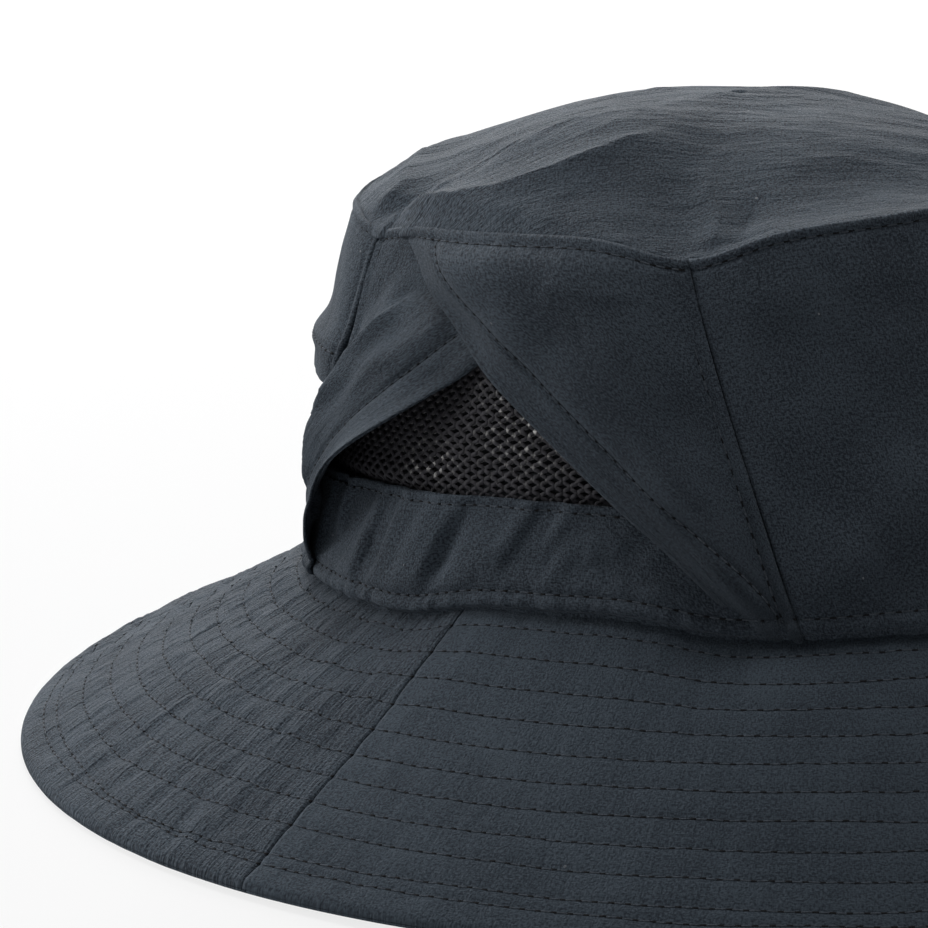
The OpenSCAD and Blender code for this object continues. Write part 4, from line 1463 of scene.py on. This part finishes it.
def make_side_flap(side, kind, surface, edge, turn):
    """One flap of a side vent with its rows of stitches: the hem, the seam, the tip and the brim."""
    front = kind == "front"
    name = f"{side}_{kind}"
    bunched = dense_start(FLAP_COLUMNS, 0.35)
    across = bunched if front else 1 - bunched[::-1]
    piece, grid = wall_cloth(f"{name}_flap_cloth", surface, across, WALL_ROWS, FLAP_DEGREES, turn)
    shares = np.linspace(0.03, 0.97, 300)
    wide = round_length(seam_edge(shares) + (-1 if front else 1) * edge(shares), shares)
    hem = HEM_WIDTH / (wide * edge_slant(edge, shares))
    seam = SEAM_STITCH / wide
    inside = hem < 0.8
    line = np.linspace(0.02, 0.98, FLAP_LINE)
    sewn = [
        sewn_row(surface, (hem if front else 1 - hem)[inside], shares[inside], HEM_STITCH),
        sewn_row(surface, 1 - seam if front else seam, shares),
        level_row(surface, line, 1 - TIP_STITCH_DROP / SIDE_HEIGHT),
        level_row(surface, line, BASE_STITCH_RISE / SIDE_HEIGHT),
    ]
    hang_flap(piece, grid, name, f"{name}_hem", own_side(sewn, turn), kind, turn)


def make_side_vent(side, turn):
    """One side's base cloth, net and two flaps; gives the base cloth's rows of stitches."""
    top = VENT_BASE_HEIGHT / wall_height(180.0)
    columns = np.linspace(0, 1, BASE_COLUMNS)
    rows = base_rows(WALL_ROWS[0], top)
    piece, grid = wall_cloth(f"{side}_base_cloth", vent_base, columns, rows, BASE_DEGREES, turn)
    finish_piece(piece, grid, [f"{side}_base_panel"], "stretched")

    def own_place(b, height):
        return net_place(b, height) * (MIRROR if turn else 1)

    lows, highs, middles = side_net_strands()
    piece = net(f"{side}_net", own_place, lows, highs, middles[::-1] if turn else middles)
    field = net_place(*np.meshgrid(np.linspace(-36, 36, 40), np.linspace(21 * MM, 70 * MM, 12)))
    area = net_area(lows, highs)
    finish_piece(piece, field, [f"{side}_mesh"], "stretched", area=area)
    make_side_flap(side, "front", front_flap, front_edge, turn)
    make_side_flap(side, "rear", rear_flap, rear_edge, turn)
    line = np.linspace(0.01, 0.99, 400)
    sewn = [
        level_row(vent_base, line, top - BASE_HEM_STITCH / SIDE_HEIGHT),
        level_row(vent_base, line, BASE_STITCH_RISE / SIDE_HEIGHT),
    ]
    return own_side(sewn, turn)


def make_linings():
    """Sweatband and the tapes over the seams inside the crown."""
    under = ["brim_under_front", "brim_under_back"]
    panels = ["front_panel", "back_panel"]
    for make_tape, node, held, rests_on, strips in (
        (sweatband_tape, "sweatband", "stretched", under, 1),
        (tip_seam_tape, "tip_seam_binding", "folded", ["crown_tip"], 1),
        (vent_seam_tapes, "side_seam_bindings", "folded", panels, 4),
    ):
        piece, grid = make_tape()
        finish_piece(piece, grid, [node], held, strips=strips)


def dress():
    """All pieces of the hat."""
    make_brim()
    sewn = make_panels() + make_back_vent()
    for side, turn in (("right", False), ("left", True)):
        sewn += make_side_vent(side, turn)
    finish_piece(stitches("crown_stitches", sewn))
    make_linings()


# Studio


LAMP_TARGET = (0, 0, 0.08)
FLOOR_HALF = 4.0
SURROUND = 0.02
PHOTO_PIXELS = 928
FOCAL_PIXELS = 4431.5
SENSOR = 36

# Each lamp's name, place, size and power: three low behind the hat and one above it
LAMPS = (
    ("behind", (1.10, 1.28, 0.75), 0.9, 23),
    ("back", (0.1, 1.65, 0.95), 0.9, 8),
    ("above", (0, 0, 1.85), 0.9, 15),
    ("left", (-0.85, 1.42, 0.52), 0.55, 11.5),
)


def white_for_camera(tree, shader, output, share):
    """Mixes plain white into what the camera, gloss and glass see of a surface, and keeps its light."""
    path = add_node(tree, "LightPath", {})
    seen = combined(tree, "MAXIMUM", path["Is Camera Ray"], path["Is Glossy Ray"])
    seen = combined(tree, "MAXIMUM", seen, path["Is Transmission Ray"])
    kind = "Emission" if output.type == "OUTPUT_MATERIAL" else "Background"
    white = add_node(tree, kind, {"Color": (1, 1, 1, 1), "Strength": 1.0})
    both = {"Fac": combined(tree, "MULTIPLY", seen, share), 1: shader, 2: white[0]}
    set_inputs(tree, output, {"Surface": add_node(tree, "MixShader", both)["Shader"]})


def make_floor():
    """Pale floor at the rim's level, with a faint mottling, that keeps the hat's soft shadow."""
    points = FLOOR_HALF * np.array([[-1, -1, 0], [1, -1, 0], [1, 1, 0], [-1, 1, 0]])
    material, tree, shader = new_material("pale_floor")
    where = add_node(tree, "TexCoord", {})["Object"]
    mottle = add_node(tree, "TexNoise", {"Vector": where, "Scale": 3.0})["Fac"]
    colour = ramped(tree, mottle, 0, (0.74, 0.74, 0.75), 1, (0.78, 0.78, 0.78))
    set_inputs(tree, shader, {"Base Color": colour, "Roughness": 0.9})
    white_for_camera(tree, shader.outputs["BSDF"], tree.nodes["Material Output"], 0.8)
    floor = new_piece("floor", points, np.array([[0, 1, 2, 3]]), NO_TRIANGLES, [material])


def make_world():
    """Even pale surround that the camera sees as white."""
    world = bpy.data.worlds.new("studio")
    bpy.context.scene.world = world
    world.use_nodes = True
    tree = world.node_tree
    surround = tree.nodes["Background"]
    set_inputs(tree, surround, {"Color": (1, 1, 1, 1), "Strength": SURROUND})
    white_for_camera(tree, surround.outputs["Background"], tree.nodes["World Output"], 1.0)


def make_lamp(name, place, size, power):
    """Square soft lamp at a place, facing the hat."""
    lamp = bpy.data.lights.new(name, "AREA")
    lamp.shape = "SQUARE"
    lamp.size = size
    lamp.energy = power
    lamp.color = (1, 1, 1)
    holder = bpy.data.objects.new(name, lamp)
    holder.location = place
    facing = Vector(LAMP_TARGET) - Vector(place)
    holder.rotation_euler = facing.to_track_quat("-Z", "Y").to_euler()
    bpy.context.scene.collection.objects.link(holder)


def make_camera():
    """Camera at the photograph's place: round and above a target, then panned and tilted off it."""
    target = Vector((0, CENTRE_SHIFT, 60 * MM))
    azimuth = math.radians(-48.26)
    elevation = math.radians(12.51)
    distance = 896.3 * MM
    pan = math.radians(-3.86)
    tilt = math.radians(-0.15)
    level = math.cos(elevation)
    back = Vector((math.sin(azimuth) * level, -math.cos(azimuth) * level, math.sin(elevation)))
    ahead = -back
    right = ahead.cross(Vector((0, 0, 1))).normalized()
    up = right.cross(ahead)
    panned = ahead * math.cos(pan) + right * math.sin(pan)
    right = right * math.cos(pan) - ahead * math.sin(pan)
    ahead = panned * math.cos(tilt) + up * math.sin(tilt)
    up = up * math.cos(tilt) - panned * math.sin(tilt)
    camera = bpy.data.cameras.new("camera")
    camera.sensor_width = SENSOR
    camera.lens = SENSOR * FOCAL_PIXELS / PHOTO_PIXELS
    camera.clip_start = 0.05
    camera.clip_end = 50
    holder = bpy.data.objects.new("camera", camera)
    matrix = Matrix((right, up, -ahead)).transposed().to_4x4()
    matrix.translation = target + back * distance
    holder.matrix_world = matrix
    bpy.context.scene.collection.objects.link(holder)
    bpy.context.scene.camera = holder


def make_studio():
    """Floor, surround, lamps and camera."""
    make_floor()
    make_world()
    for lamp in LAMPS:
        make_lamp(*lamp)
    make_camera()
    bpy.context.scene.view_settings.view_transform = "Standard"


dress()
make_studio()
